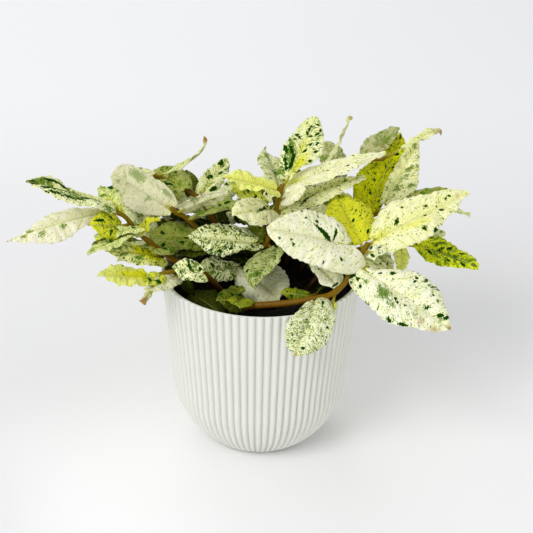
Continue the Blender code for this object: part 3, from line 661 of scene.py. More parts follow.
# Form of a fine blade. Each side has its base lobe as a share of the half width, and the angle in
# degrees by which that lobe turns back. Then: where the blade is widest, how blunt its tip is, how
# much its halves puff up, how far its midrib lies off the middle, how far along it starts, its small
# shift and turn from the solid's pose, and its size against the solid's. A side with an edge of its
# own has its width in millimetres at each tenth of its length instead of the lobe's outline. Calm is
# the share that is left of the solid's waves. Forms are listed by stem, then by the leaf's number.
Form = namedtuple("Form", "lobes ears widest tip puff offset start shift turn size edges calm",
                  defaults=((0.50, 0.32), (46, 22), 0.45, 0.68, 1.0, 0, 0, (0, 0, 0), (0, 0, 0), (1, 1),
                            (None, None), 1.0))
FORMS = {
    "stem_front_right": {
        0: Form((0.55, 0.45), (50, 25), shift=(-4, 0, 0),
                edges=((12, 14.4, 16, 17, 17.5, 18, 17.5, 15.4, 12.4, 7.8, 1),
                       (2, 4.5, 6.6, 8.5, 10, 11.9, 12.3, 11.9, 10.6, 7.6, 1))),
        1: Form((0.08, 0.55), (0, 62), shift=(3.5, 0, -2.5),
                edges=((2, 5.5, 10.5, 14, 18.5, 20, 19.3, 17.5, 12.5, 7, 0.8),
                       (12, 16.4, 18.7, 20.2, 20.6, 21.2, 19.5, 16, 12.3, 7.7, 0.8))),
        2: Form((0.80, 0.62), (60, 34), tip=0.55, puff=1.25, offset=4, start=6,
                edges=(None, (5, 11.4, 16.8, 18.7, 18.6, 18, 16.9, 14.8, 11.7, 7.6, 1))),
        3: Form((0.35, 0.30), (15, 20), puff=1.2,
                edges=((6.5, 12.5, 17, 19, 18.5, 17, 15, 12.5, 10.5, 7, 1),
                       (4, 13, 16, 17.3, 18, 17, 13.5, 10, 9, 2.5, 0.6))),
        4: Form((0.12, 0.12), (0, 0), 0.52, 0.95, shift=(0.5, 0, 1), turn=(8, 0, 0), size=(1.02, 1.05)),
        5: Form(shift=(0, 0, -3)),
        7: Form(shift=(-6, 0, -5), size=(0.8, 0.8)),
        8: Form(shift=(4, 0, -1)),
    },
    "stem_centre": {
        0: Form(shift=(-4, 0, 2), size=(1.0, 1.15)),
        1: Form((0.45, 0.45), tip=0.42, puff=1.3, shift=(-6, -1, -2.5), size=(0.92, 1.3)),
        2: Form(shift=(11, 0, -3), size=(1.0, 1.35)),
        3: Form(shift=(1, 0, 1), turn=(-4, -9, 0), size=(0.97, 0.9),
                edges=((4, 6, 7, 8.5, 11.5, 13, 13, 12.5, 10, 6, 1),
                       (7, 9.5, 12.8, 13.5, 13, 12.4, 11.8, 10.8, 9, 6, 1))),
        5: Form((0.3, 0.3), (20, 10), shift=(4, 0, 1),
                edges=((9, 12, 13.5, 14, 14, 14, 14.5, 15, 15, 11, 4),
                       (3, 3.5, 4, 4, 4, 4.5, 5.5, 7.5, 9, 9, 3))),
        7: Form(puff=1.2, shift=(-2, 0, 0)),
        10: Form(shift=(0, 0, 5)),
        11: Form(size=(1.22, 0.82)),
        12: Form((0.20, 0.20), (10, 0), shift=(2, 0, 0), turn=(4, 0, 0),
                 edges=((5, 8, 10.3, 12, 13, 12.6, 11.4, 10, 8.8, 6.8, 1),
                        (1.5, 2.5, 4, 8, 11.5, 13.5, 13, 11, 9, 5, 0.8))),
        13: Form(shift=(0, 0, 3)),
    },
    "stem_left_centre": {
        1: Form(edges=((10, 12, 12.6, 12, 12, 12.4, 13, 13, 12, 9, 4),
                       (5, 8, 11, 14, 16.5, 18.5, 19, 18, 15.5, 11, 4))),
        2: Form(edges=(None, (5, 7, 7.4, 7, 6, 5.5, 5.5, 5, 4, 3, 1))),
    },
    "stem_back_left": {
        0: Form(shift=(4, -12, 1), size=(1.0, 1.15)),
        1: Form((0.2, 0.2), (5, 5), size=(1.05, 0.34)),
        2: Form(shift=(0, 0, -4)),
    },
    "stem_left": {
        0: Form(shift=(0, 0, 3),
                edges=((6, 9, 11, 12, 12, 12, 12, 11.5, 9, 5.5, 2),
                       (7, 7, 6, 4.5, 4, 6, 10, 10.5, 8, 4.5, 1))),
        1: Form((0.35, 0.35), (15, 15), shift=(-2.5, 0, 0),
                edges=((4, 6, 7.6, 10, 12, 14, 14.4, 12.2, 10, 6.2, 0.8),
                       (5, 7, 9.4, 13, 13.2, 11.4, 8.9, 5.9, 2.8, 1.2, 0.6))),
        2: Form(shift=(-5, 0, -2)),
        3: Form(shift=(0, 0, 2)),
        5: Form(shift=(2, 0, 0), size=(1.1, 1.15)),
        6: Form(shift=(1, 0, -6), turn=(0, 13, 0), size=(0.9, 1)),
        7: Form(shift=(-2, -8, -3), size=(1.15, 1.25)),
        20: Form(shift=(9, -5, 2)),
    },
    "stem_left_low": {
        0: Form(shift=(0, 0, -1), turn=(0, 5, 0), size=(0.9, 0.85)),
        2: Form(shift=(-8, 0, -4)),
        3: Form(shift=(3, -12, 6), size=(1.0, 1.15)),
    },
    "stem_right": {
        0: Form(shift=(2, 0, 0),
                edges=((4.8, 9.2, 11.8, 12.2, 11.1, 10.3, 9.8, 9, 7.6, 5, 1.2),
                       (1.5, 4, 7.2, 10, 10.7, 10.8, 10.3, 8.8, 6.3, 3.2, 0.8))),
        1: Form(shift=(1, 0, 0), size=(1.1, 1)),
        2: Form(shift=(-3, 0, 0), size=(0.8, 0.8)),
    },
    "stem_back_right": {
        0: Form((0.3, 0.3), (15, 15),
                edges=((9, 15, 18.5, 19, 17.5, 14.5, 11, 8, 5.5, 3, 0.8),
                       (5, 7, 8, 8.5, 9, 9.5, 10, 10, 8.8, 6, 1))),
        1: Form(shift=(-3, 0, 0),
                edges=((4, 5, 6, 6.2, 6.4, 6.6, 6.6, 6.4, 6, 5, 1),
                       (5, 9.3, 13.5, 16, 15.6, 13.6, 11.6, 9.4, 6.6, 3.4, 0.8))),
        3: Form(shift=(0, 0, 3)),
    },
    "stem_back_centre": {
        0: Form(edges=((4, 7, 9.5, 10.4, 11, 11.2, 10.2, 9.2, 7.4, 5, 1),
                       (4, 6, 7, 7.3, 7.4, 7.4, 7.2, 6.2, 5, 2.8, 0.6))),
        1: Form((0.2, 0.2), (5, 5), shift=(8, 4, 3), turn=(0, -5, 0), size=(0.95, 0.7),
                edges=((1.6, 1.8, 2, 2.2, 2.6, 3.6, 5.5, 6.5, 6, 4, 0.8),
                       (1.2, 1.3, 1.5, 1.8, 2.6, 3.6, 4.4, 4.2, 3.2, 1.8, 0.6))),
        2: Form((0.2, 0.2), (5, 5), shift=(-8, 0, 5), size=(1.12, 0.42)),
        3: Form(shift=(5, 0, -5), size=(1.1, 1.0)),
    },
    "shoot_front": {
        0: Form(shift=(7, -5, -2), size=(1.15, 1.45), calm=0.35),
        1: Form(shift=(1, -3, -2), size=(1.3, 1.5), calm=0.35),
        2: Form(shift=(-13, 0, -1)),
    },
    "shoot_left": {
        0: Form(shift=(-5, 1, 0), size=(1.25, 1.2)),
    },
    "shoot_right": {
        0: Form(shift=(-1, -3, -1), size=(0.95, 0.8)),
        1: Form(size=(0.6, 0.6)),
    },
    "stem_behind_4": {
        3: Form(size=(0.75, 0.8)),
    },
}
EDGE_STATIONS = np.linspace(0.0, 1.0, 11)

# A blade laid flat, point by point: its fraction along, its fraction across with a sign, its side of
# the midrib, its distance out as a fraction, the midrib's shift, the half width, and the point's
# place in millimetres. Then the blade's own length, half width and size of waves.
Sheet = namedtuple("Sheet", "t s hand out off wide x y length half ripple")

Tone = namedtuple("Tone", "tint flecks mid yellow streaks blotches net size green",
                  defaults=(0, 0, 0.2, 1.0, 0.35))

# Each tone's ground colour, its shares of dark flecks and of mid-green mottling, its yellow wash
# along the midrib, how many dark streaks and blotches it draws, how clear its pale net of veins is,
# how small its flecks are, and how green rather than dark they are.
TONES = {
    "plain": Tone((0.99, 0.98, 0.77), -0.95, -0.3, 0.03, net=0.05),
    "cream": Tone((0.98, 0.97, 0.69), -0.15, 0.1, 0.06, 1, 1, net=0.10),
    "butter": Tone((0.98, 0.97, 0.64), -0.30, 0.05, 0.17, net=0.10),
    "light": Tone((1.0, 1.0, 0.62), -0.10, 0.35, 0.06, 1, 1, net=0.15, green=0.60),
    "lemon": Tone((0.90, 0.92, 0.30), -0.60, 0.20, 0.30, net=0.30, green=0.60),
    "yellow": Tone((0.76, 0.75, 0.05), 0.15, 0.25, 0.30, 0, 1),
    "gold": Tone((0.70, 0.72, 0.012), 0.75, 0.05, 0.35, 0, 1, green=0.5),
    "lively": Tone((0.92, 0.92, 0.07), 0.45, 0.45, 0.20, 1, 1, green=0.60),
    "vivid": Tone((0.84, 0.90, 0.04), 0.45, 0.65, 0.10, 1, 1, green=0.60),
    "fresh": Tone((0.80, 0.84, 0.42), 0.10, 0.50, 0.10, 1, 1, green=0.60),
    "striped": Tone((0.92, 0.94, 0.50), 0.30, 0.50, 0.20, 2, 0, green=0.50),
    "mottled": Tone((0.80, 0.84, 0.12), 0.40, 0.55, 0.40, 2, 2, green=0.50),
    "moss": Tone((0.34, 0.38, 0.010), 0.30, 0.55, 0.10, 0, 1, green=0.60),
    "dusky": Tone((0.36, 0.40, 0.10), 0.50, 0.40, 0.10, 1, 2, green=0.30),
    "olive": Tone((0.12, 0.14, 0.008), 0.50, 0.10, 0.12, 2, 2),
    "dull": Tone((0.46, 0.49, 0.17), 0.60, 0.55, 0.15, 2, 2),
    # Painted shade: leaves deep in the plant's shade, darkened nearly to black.
    "shade": Tone((0.040, 0.047, 0.004), 0.40, -0.20, 0.04, 1, 1, net=0.03),
    "deep_shade": Tone((0.010, 0.012, 0.001), 0.20, -0.30, 0.0, net=0.0),
    "warm": Tone((0.88, 0.85, 0.69), -1.8, 0.10, 0.05, net=0.30, green=0.9),
    "chalk": Tone((0.90, 0.88, 0.66), -1.0, 0.40, 0.02, net=0.10, green=0.70),
    "grey": Tone((0.74, 0.715, 0.53), -1.6, 0.40, 0.02, net=0.12, green=0.70),
    "drab": Tone((0.58, 0.57, 0.34), -0.2, 0.60, 0.04, 1, 0, net=0.15, green=0.60),
    "ashen": Tone((0.74, 0.74, 0.50), -0.10, 0.50, 0.04, 1, 1, green=0.60),
    "pale": Tone((0.84, 0.85, 0.56), 0.0, 0.40, 0.06, 1, 1),
    "speckled": Tone((0.95, 0.955, 0.74), 0.85, 0.45, 0.05, 0, 1, 0.08, 1.45, 0.70),
    # Painted shade: a speckled leaf darkened where it lies in shade.
    "speckled_shade": Tone((0.62, 0.65, 0.34), 0.80, 0.60, 0.05, 1, 2, 0.10, 1.2, 0.50),
    "flecked": Tone((0.98, 0.99, 0.68), 0.90, 0.55, 0.05, 2, 3, 0.12, 0.9, 0.45),
    "blotched": Tone((0.99, 0.985, 0.80), 0.15, 0.15, 0.03, 1, 3, 0.05, 1.25, 0.50),
    "streaked": Tone((0.98, 0.99, 0.64), 0.25, 0.40, 0.20, 4, 2, green=0.5),
}

# Marks seen on the shown leaves, by stem, by the leaf's number and by kind. Each has its place as a
# fraction of the length and in millimetres from the midrib, its half length and half width in
# millimetres, the angle in degrees by which it leans outward, and its strength.
Mark = namedtuple("Mark", "t y long wide turn strength", defaults=(35, 1.0))
MARK_KINDS = ("mid", "dark", "flecks", "yellow", "brown", "clear")
MARKS = {
    "stem_front_right": {
        0: {"dark": [(0.85, -3, 1.3, 1.0, 60), (0.33, -9.7, 1.0, 0.8), (0.44, -13.7, 1.0, 0.8),
                     (0.73, 6.6, 0.9, 0.7), (0.26, 6.9, 0.9, 0.7), (0.1, -6, 1.4, 0.9)],
            "mid": [(0.45, 0, 1.6, 1.1), (0.6, 2, 9, 4, 20, 0.35)],
            "brown": [(0.99, 0, 2.5, 2, 0, 0.5)]},
        1: {"dark": [(0.05, 11.5, 2.9, 1.5, 90), (0.09, 10, 1.3, 1.0), (0.43, 6, 1.4, 1.0),
                     (0.465, 7.4, 1.2, 0.9), (0.54, 6.2, 1.1, 0.8), (0.24, 18.5, 1.4, 0.8, 0),
                     (0.50, 20, 2.4, 1.1, 0), (0.63, 17.5, 3.6, 1.0, -25), (0.09, 14.5, 0.9, 0.8),
                     (0.14, 12.7, 1.0, 0.8), (0.345, 17.6, 0.9, 0.8), (0.85, -2.8, 2.4, 1.2, 20),
                     (0.91, -3.8, 2.2, 1.2, 60), (0.70, -0.9, 1.5, 0.6, 45), (0.715, -2.8, 1.6, 0.7, 45),
                     (0.25, -8, 1.9, 1.5, 50), (0.155, -4, 0.9, 0.7), (0.47, -12, 1.4, 1.0),
                     (0.46, -14.8, 1.2, 0.9), (0.54, -17.3, 1.8, 0.9, 80), (0.63, -16.4, 1.9, 0.9, 50),
                     (0.67, -17.8, 1.9, 0.8, 0), (0.68, -11.3, 0.9, 0.8), (0.75, -10, 0.9, 0.7),
                     (0.33, 0.6, 0.8, 0.6)],
            "mid": [(0.14, 8.5, 3, 1.5, 60), (0.31, 7.0, 10.5, 5.0, 32, 1.35),
                    (0.42, 10.5, 8.0, 4.6, 15, 1.1), (0.62, 8, 5, 3, 20, 0.7), (0.24, 2, 2.5, 1.0, 20),
                    (0.52, 18, 4, 2, 0, 0.8), (0.85, -1.0, 4.5, 2.2, 20), (0.66, -2, 3.5, 1.5, 30),
                    (0.60, -16, 6, 2.5, 0, 0.8), (0.655, -12.3, 2.5, 1.5)],
            "flecks": [(0.42, 8, 9, 6, 20, 0.7), (0.64, 7, 6, 4, 20, 0.6)],
            "brown": [(0.745, 8.7, 3.4, 2.8, 60, 0.6), (0.88, 7.0, 4.5, 1.6, -35, 0.6),
                      (1.0, 0, 3.5, 2.0, 0, 0.9)],
            "clear": [(0.4, -5, 14, 4, 0, 0.7)]},
        2: {"dark": [(0.345, 3.4, 11.5, 1.1, 23), (0.22, 4.6, 4.2, 0.9, 73), (0.21, 9.7, 0.9, 0.7),
                     (0.45, 10, 1.7, 1.2), (0.43, 14.4, 1.1, 0.9), (0.60, 10.4, 0.9, 0.7),
                     (0.63, 16, 1.3, 0.9), (0.09, -4.4, 1.8, 0.5, 0), (0.73, -5.9, 1.1, 0.9),
                     (0.70, -8.6, 1.1, 0.8), (0.86, -6, 1.0, 0.7), (0.33, -16.8, 0.8, 0.6),
                     (0.17, -13, 0.7, 0.6)],
            "mid": [(0.57, -9.9, 0.9, 0.8), (0.275, -18, 1.3, 1.0), (0.53, -4.6, 0.8, 0.6)],
            "flecks": [(0.80, 4, 9, 8, 0, 0.5)]},
        3: {"dark": [(0.273, -3, 2.5, 0.95, 35), (0.375, -10, 0.9, 0.7), (0.445, 11.8, 1.8, 0.9, 60),
                     (0.52, 2.6, 1.7, 0.8, 30), (0.53, 15.8, 2.2, 0.9, 0), (0.675, 4.1, 1.8, 0.9, 20),
                     (0.575, -3.7, 1.7, 0.6, 30), (0.767, -2.4, 1.1, 0.6), (0.81, -3, 0.9, 0.7)],
            "mid": [(0.18, -2.4, 0.8, 0.6), (0.25, 13, 1.2, 0.7), (0.45, 11, 3, 2),
                    (0.74, 8.3, 2.4, 1.2, 0), (0.835, 4.8, 2.2, 1.3, 60), (0.61, -7.7, 1.4, 1.0),
                    (0.66, -7.7, 1.6, 1.2)],
            "flecks": [(0.68, 2, 20, 10, 0, 0.55), (0.6, -12, 16, 4, 0, 0.4), (0.75, -3, 12, 8, 0, 0.8),
                       (0.6, 5, 14, 5, 0, 0.6)],
            "yellow": [(0.40, 6, 14, 4, 12, 0.5), (0.05, 0, 10, 4, 0, 0.5)],
            "brown": [(0.88, -1.2, 1.6, 1.2, 0, 0.6)],
            "clear": [(0.25, -11, 16, 5, 0, 0.7)]},
        4: {"dark": [(0.39, 1.2, 1.5, 0.6, 20), (0.56, 3.3, 0.7, 0.6), (0.52, 5.5, 0.7, 0.6),
                     (0.43, 7, 0.7, 0.5), (0.67, 9, 0.8, 0.6), (0.12, 6.5, 1.6, 0.9)],
            "mid": [(0.8, 0, 9, 9, 0, 0.35)],
            "flecks": [(0.5, 11, 14, 3, 0, 0.9)]},
        5: {"dark": [(0.3, 3, 2.6, 0.9, 20), (0.65, -2, 2.6, 0.8, 15), (0.2, -3, 1.6, 1.0)],
            "mid": [(0.7, 2, 3, 1.6, 0)]},
    },
    "stem_centre": {
        3: {"dark": [(0.52, 11, 1.2, 0.9), (0.42, 10, 1.1, 0.9), (0.6, -10, 2.5, 0.9),
                     (0.45, -8, 2.5, 0.9)],
            "mid": [(0.2, 4, 8, 3, 20, 0.5)],
            "flecks": [(0.6, -8, 20, 5, 0, 0.5)],
            "clear": [(0.5, 1, 25, 1.6, 0, 1.0)]},
        5: {"dark": [(0.97, 1, 3.2, 0.9, 80), (0.85, -5, 0.8, 0.6), (0.7, 3, 0.7, 0.6)]},
        7: {"dark": [(0.27, -0.3, 11, 0.8, 14)],
            "mid": [(0.75, 5, 4.5, 2, 20, 0.8), (0.5, 4, 4, 1.2, 20, 0.6)]},
        8: {"dark": [(0.316, 3.7, 9.5, 1.3, -27), (0.16, 11, 1.7, 1.3), (0.65, 3.7, 1.4, 1.0),
                     (0.45, -6.3, 1.3, 0.9), (0.34, -9.8, 1.9, 1.4)],
            "mid": [(0.22, 0.7, 3, 1.0, -60), (0.545, -0.3, 2.5, 0.9, 40), (0.765, -0.8, 4, 0.9, 20),
                    (0.57, -4.5, 2, 1.2)]},
        9: {"mid": [(0.6, 2, 2, 1)]},
        10: {"dark": [(0.71, -5.4, 1.0, 0.8), (0.79, -6.6, 1.0, 0.7), (0.57, 8, 1.2, 0.8),
                      (0.4, 4, 0.9, 0.6)],
             "mid": [(0.63, -7, 3, 1.4)],
             "yellow": [(0.1, 0, 10, 7, 0, 0.5)]},
        12: {"dark": [(0.25, -2.4, 8.2, 1.2, 4), (0.38, -6.0, 5.6, 1.2, 38), (0.365, -9.8, 4.6, 1.2, 34),
                      (0.22, -6.5, 4.6, 1.0, 32), (0.15, -4.5, 2.4, 1.0, 20), (0.63, -7.4, 1.7, 1.4),
                      (0.60, -5, 2.2, 0.8, 50), (0.53, -10.6, 2, 0.9), (0.55, -7, 1.5, 0.8, 60),
                      (0.45, 2.4, 2.4, 1.0, 20), (0.55, 3.6, 2.3, 0.8, 30), (0.68, 1.5, 1.7, 1.0, 80),
                      (0.71, -1.2, 1.9, 0.9, 30), (0.78, -1.2, 2.0, 0.8, 0), (0.835, 0, 1.8, 0.8, 60),
                      (0.87, 3, 1.8, 0.8, 90), (0.80, 6.4, 2.2, 0.8, -10), (0.73, 5.6, 1.8, 0.9, 20),
                      (0.36, 8.5, 1.6, 0.9, 20), (0.5, 9.5, 1.6, 0.9, 40), (0.6, 8.5, 1.8, 0.8, 10)],
             "mid": [(0.30, -6, 10, 5.5, 20, 1.3), (0.08, -5, 4.5, 3), (0.48, -8.5, 6, 3.5, 20),
                     (0.6, 7, 5, 2.5, 20, 0.7)],
             "flecks": [(0.6, 2, 20, 12, 0, 0.6)],
             "yellow": [(0.28, 3, 10, 4.5, 15, 0.8), (0.5, 0, 9, 2.5, 0, 0.5)]},
    },
    "stem_left_centre": {
        1: {"mid": [(0.185, -7.2, 7, 2.6, 0, 1.3), (0.653, -6.4, 9, 4.0, 0, 1.4), (0.9, 4, 4, 2.5, 0, 0.8),
                    (0.42, 5, 6, 1.4, 40, 0.9)],
            "flecks": [(0.66, -6, 9, 4, 0, 1.2), (0.2, -7, 7, 3, 0, 1.1)],
            "yellow": [(0.03, 0, 5, 5, 0, 0.4)],
            "brown": [(0.10, 0, 9, 1.4, 0, 0.6), (0.14, 4, 7, 0.8, 40, 0.5), (0.12, -4, 7, 0.8, 40, 0.5)]},
    },
    "stem_back_left": {
        1: {"brown": [(0.98, 0, 5, 2, 0, 1.2)]},
    },
    "stem_left": {
        0: {"dark": [(0.27, -3.3, 7, 1.9, 0), (0.44, -1.5, 6, 1.4, 12), (0.60, -3.0, 7, 1.1, 5),
                     (0.76, -3.2, 9, 1.3, 4), (0.93, -0.5, 7, 1.6, 0), (0.60, 3.4, 7, 1.0, 20),
                     (0.75, 4.0, 7, 1.0, 0), (0.40, -6.4, 7, 0.9, 14), (0.58, -7.6, 7, 0.9, 10),
                     (0.75, -7.2, 6, 0.9, 0)],
            "mid": [(0.52, 5, 8, 2.5, 40), (0.5, -6, 18, 4, 0, 1.0), (0.85, 2, 10, 4, 0, 1.2),
                    (0.12, -6, 6, 3)],
            "flecks": [(0.6, 0, 30, 9, 0, 0.5)]},
        1: {"mid": [(0.49, -4.7, 4.0, 2.6, 20, 1.2), (0.69, -6.5, 4.4, 2.6, 20, 1.2),
                    (0.78, 0.6, 3.0, 2.0, 20, 1.1), (0.86, -2.4, 4.0, 2.0, 10, 1.1),
                    (0.22, 8, 3, 3, 60, 0.9), (0.4, 10, 5, 1.6, 20, 0.6)],
            "brown": [(0.99, 0, 3, 1.5, 0, 1.0)]},
        2: {"dark": [(0.75, 3, 5, 1.0, 0), (0.35, 5, 3.0, 0.8), (0.5, -5, 3.0, 0.8)],
            "mid": [(0.3, -4, 5, 2)],
            "flecks": [(0.5, 0, 14, 9, 0, 0.8)]},
        3: {"dark": [(0.68, 4, 5, 1.8, 0)],
            "mid": [(0.5, -3, 6, 2.6), (0.9, 1, 4, 3)],
            "flecks": [(0.7, 0, 12, 8, 0, 0.6)],
            "yellow": [(0.3, -3, 8, 4, 0, 0.5)]},
        6: {"dark": [(0.20, 6, 2.4, 0.9), (0.10, 4, 2.0, 0.8), (0.3, 8, 2.4, 0.8)],
            "mid": [(0.6, 4, 8, 1.2, 20, 1.3), (0.7, -3, 8, 1.2, 20, 1.3), (0.8, 2, 6, 1.2, 0, 1.2),
                    (0.5, -6, 8, 1.4, 20, 1.3)],
            "flecks": [(0.18, 5, 9, 4, 0, 0.8)],
            "yellow": [(0.22, 2, 15, 12, 0, 1.5)]},
    },
    "stem_left_low": {
        0: {"dark": [(0.5, 6, 1.0, 0.7)],
            "mid": [(0.45, 5, 3, 2, 20, 0.7), (0.62, -4, 3, 1.6, 20, 0.5)],
            "yellow": [(0.30, 0, 14, 3.5, 0, 1.3), (0.12, 0, 8, 8, 0, 1.2)]},
        4: {"yellow": [(0.2, 0, 7, 4, 0, 0.6)],
            "brown": [(0.9, 0, 6, 4, 0, 1.0)]},
    },
    "stem_right": {
        0: {"dark": [(0.28, 3, 5, 0.9, 25), (0.68, 0.8, 9, 0.8, 0), (0.505, -4.8, 2.6, 1.0),
                     (0.41, -2.6, 3, 0.8, 50), (0.2, -8.5, 1.6, 1.0), (0.7, -5, 3, 0.8, 30),
                     (0.6, 5, 3, 0.8, 20), (0.8, 3.5, 3, 0.8, 20), (0.93, 0, 3, 0.9, 0)],
            "mid": [(0.5, 0, 16, 1.3, 0, 1.2), (0.4, 4, 6, 1.0, 30, 1.1), (0.55, 5, 6, 1.0, 30, 1.1),
                    (0.7, 4, 6, 1.0, 30, 1.1), (0.55, -4, 6, 1.0, 30, 1.1), (0.85, -2, 5, 1.6, 30, 1.1),
                    (0.35, -6, 6, 1.0, 30, 1.0)],
            "flecks": [(0.5, -7, 16, 3, 0, 0.5)]},
    },
    "stem_back_right": {
        0: {"dark": [(0.33, -5.5, 1.5, 0.9), (0.71, 3.3, 1.9, 1.3), (0.8, -3, 1.6, 0.8),
                     (0.18, -4.4, 1.3, 1.0), (0.95, 0.5, 3, 0.8, 0), (0.55, 4, 1.5, 0.9)],
            "mid": [(0.85, 4, 4, 1.5)],
            "yellow": [(0.85, 0, 16, 9, 0, 0.8)]},
        1: {"mid": [(0.34, 12, 6, 3, 10, 1.1), (0.5, 5, 14, 3, 10, 0.8), (0.91, 0, 3.4, 2, 0, 1.0),
                    (0.75, 6, 6, 2, 10, 0.7), (0.2, 5, 6, 3, 10, 0.6)],
            "brown": [(0.54, -2.9, 4, 2, 0, 0.5)]},
    },
    "stem_back_centre": {
        0: {"mid": [(0.65, -5.9, 3.5, 1.3, 0, 1.0), (0.5, 2, 8, 3.5, 0, 0.9), (0.8, 1, 5, 2, 0, 0.8)],
            "brown": [(0.35, 4, 5, 2, 0, 0.6)]},
        1: {"brown": [(0.95, 0, 7, 4, 0, 0.8), (0.8, 3, 6, 1, 0, 0.6)]},
        2: {"brown": [(1.0, 0, 3, 2, 0, 0.8)]},
    },
}

# Leaf colours.
DARK_GREEN = (0.014, 0.070, 0.002)
MID_GREEN = (0.15, 0.27, 0.018)
YELLOW = (0.84, 0.82, 0.01)
BROWN = (0.40, 0.27, 0.10)
UNDERSIDE = (0.72, 0.72, 0.50)
VEIN = (0.70, 0.73, 0.22)
SHIFT = (0.88, 0.90, 0.66)
# Painted shade in the creases along the side veins.
CREASE_SHADE = (0.62, 0.62, 0.20)
SPECK = (0.52, 0.58, 0.14)

# Leaf material. Each noise has its scale, its detail and how rough it is; scales are per millimetre
# along the blade. Then the places where the noises are read, and the limits between which each layer
# of colour comes in.
FINE_NOISE = (0.95, 1.5, 0.5)
SPOT_NOISE = (0.48, 1.5, 0.5)
COARSE_NOISE = (0.20, 2.5, 0.6)
GRAIN_NOISE = (2.6, 1.0, 0.5)
ACROSS_VEINS = 0.8
HALVES_APART = 40.0
SPOTS_APART = (31, 17, 9)
SEED_STEP = 10.0
SHIFT_LIMITS = (0.36, 0.62)
PATCH_LIMITS = (0.63, 0.73)
FAINT_LIMITS = (0.60, 0.78)
DOT_LIMITS = (0.685, 0.715)
BLOT_LIMITS = (0.70, 0.715)
RIM_LIMITS = (0.10, 0.26)
MARK_LIMITS = (0.26, 0.34)
GREEN_LIMITS = (0.22, 0.38)
WORN_LIMITS = (0.2, 0.45)

# Widths in millimetres over which the painted shade of a crease, a pale vein and the pale midrib fade
# out, and over which the creases' painted shade begins beside the midrib.
CREASE_FADE = (0.0, 0.7)
VEIN_FADE = (0.1, 1.3)
MIDRIB_FADE = (0.25, 0.8)
CREASE_START = (0.5, 2.5)

# Noises of the stem, the pot and the soil: scale, detail and roughness. The stem's bands are per
# millimetre, and the others per metre.
STEM_STREAKS = (900.0, 3.0, 0.6)
STEM_BANDS = (0.22, 2.0, 0.5)
POT_GRAIN = (1500.0, 2.0, 0.5)
POT_CLOUD = (25.0, 3.0, 0.5)
# Noise that frays the edge of the painted shade on the pot's inner wall.
POT_SHADE_EDGE = (110.0, 4.0, 0.65)
SOIL_CRUMBS = (420.0, 4.0, 0.65)
SOIL_PATCHES = (60.0, 3.0, 0.5)

# Where stems are dark with shade: it fades between two heights above the soil in millimetres, and comes
# in between two places along Y in metres. Then the room above the soil and below the rim between
# which the painted shade on the pot's inner wall fades, in millimetres.
STEM_SHADE_HEIGHTS = (2.0, 34.0)
STEM_SHADE_FRONT = (-0.040, -0.020)
INNER_SHADE_ROOM = (4.0, 2.0)

# Colours of the stems, the pot, the soil and the floor.
STEM_OLD = (0.22, 0.105, 0.004)
STEM_GROWN = (0.24, 0.17, 0.004)
STEM_YOUNG = (0.46, 0.46, 0.05)
STEM_BAND = (0.25, 0.14, 0.004)
STEM_STREAK = (0.13, 0.06, 0.012)
STEM_SHADED = (0.045, 0.013, 0.005)
POT_WHITE = (0.80, 0.81, 0.755)
POT_DULL = (0.76, 0.77, 0.715)
# Painted shade in the pot's grooves.
POT_GROOVE_SHADE = (0.36, 0.36, 0.31)
# Painted shade on the pot's inner wall.
POT_INNER_SHADE = (0.030, 0.022, 0.014)
SOIL_MOIST = (0.004, 0.003, 0.002)
SOIL_CRUMB = (0.032, 0.020, 0.011)
SOIL_GREEN = (0.012, 0.012, 0.005)
# The floor's tones are painted light and shade: darker to the left and most of all at the left front, a
# painted shadow behind the pot, and a painted pool of light just ahead of the pot.
FLOOR_SHADE_LEFT_FRONT = (0.72, 0.72, 0.73)
FLOOR_SHADE_LEFT = (0.84, 0.84, 0.85)
FLOOR_RIGHT = (0.93, 0.93, 0.94)
FLOOR_SHADOW_BEHIND = (0.86, 0.86, 0.87)
FLOOR_FAR = (0.93, 0.94, 0.96)
FLOOR_LIGHT_AHEAD = (0.975, 0.975, 0.98)

# Places of the mixing node's sockets when it mixes colours.
MIX_FACTOR = 0
MIX_A = 6
MIX_B = 7
MIX_RESULT = 2

# Fine pot.
POT_SIDES_PER_RIB = 12
POT_ROWS = 44
POT_ROWS_FROM = 1.0
POT_ROWS_CROWD = 1.25
POT_CENTRE = 12.0
POT_INNER_HEIGHTS = (126.0, 120.0, 112.0, 80.0, 50.0, 30.0, 15.0)
POT_SHARP_ANGLE = 50
FOOT_FLAT = 2.5
FOOT_ROUND = 1.0
FOOT_RISE = 0.25
FLOOR_ROUND = 1.0
RIM_ROUND = 0.9
RIM_STEPS = 3
RIM_GROOVE_LOSS = 0.2
FINE_GROOVE_DEPTH = 1.7
GROOVE_SHARPNESS = 1.15

# Fine soil, and its crumbs, each a hull of ten corners.
SOIL_SIDES = 200
SOIL_RINGS = 60
SOIL_SIDE_HEIGHTS = (100.0, 60.0, 30.0, 10.0)
SOIL_SIDE_ROOM = 0.3
SOIL_SHARP_ANGLE = 60
SOIL_GRAIN = 1.4
SOIL_GRAIN_TURNS = 0.28
SOIL_GRAIN_FORM = (0.8, 2.1, 4)
CRUMBS = 620
CRUMB_SEED = 8
CRUMB_REACH = 0.97
CRUMB_SIZES = (0.7, 2.2)
CRUMB_SHRINK = (0.6, 1.0)
CRUMB_STRETCH = (0.9, 1.9)
CRUMB_UNEVEN = (0.8, 1.15)
CRUMB_FLATNESS = 0.7
CRUMB_LIFT = 0.25
CRUMB_CORNERS = ((1, 1, 1), (-1, -1, 1), (-1, 1, -1), (1, -1, -1), (1, 0, 0.2), (-1, 0, 0.1), (0, 1, 0),
                 (0, -1, 0.2), (0, 0, 1), (0, 0, -1))
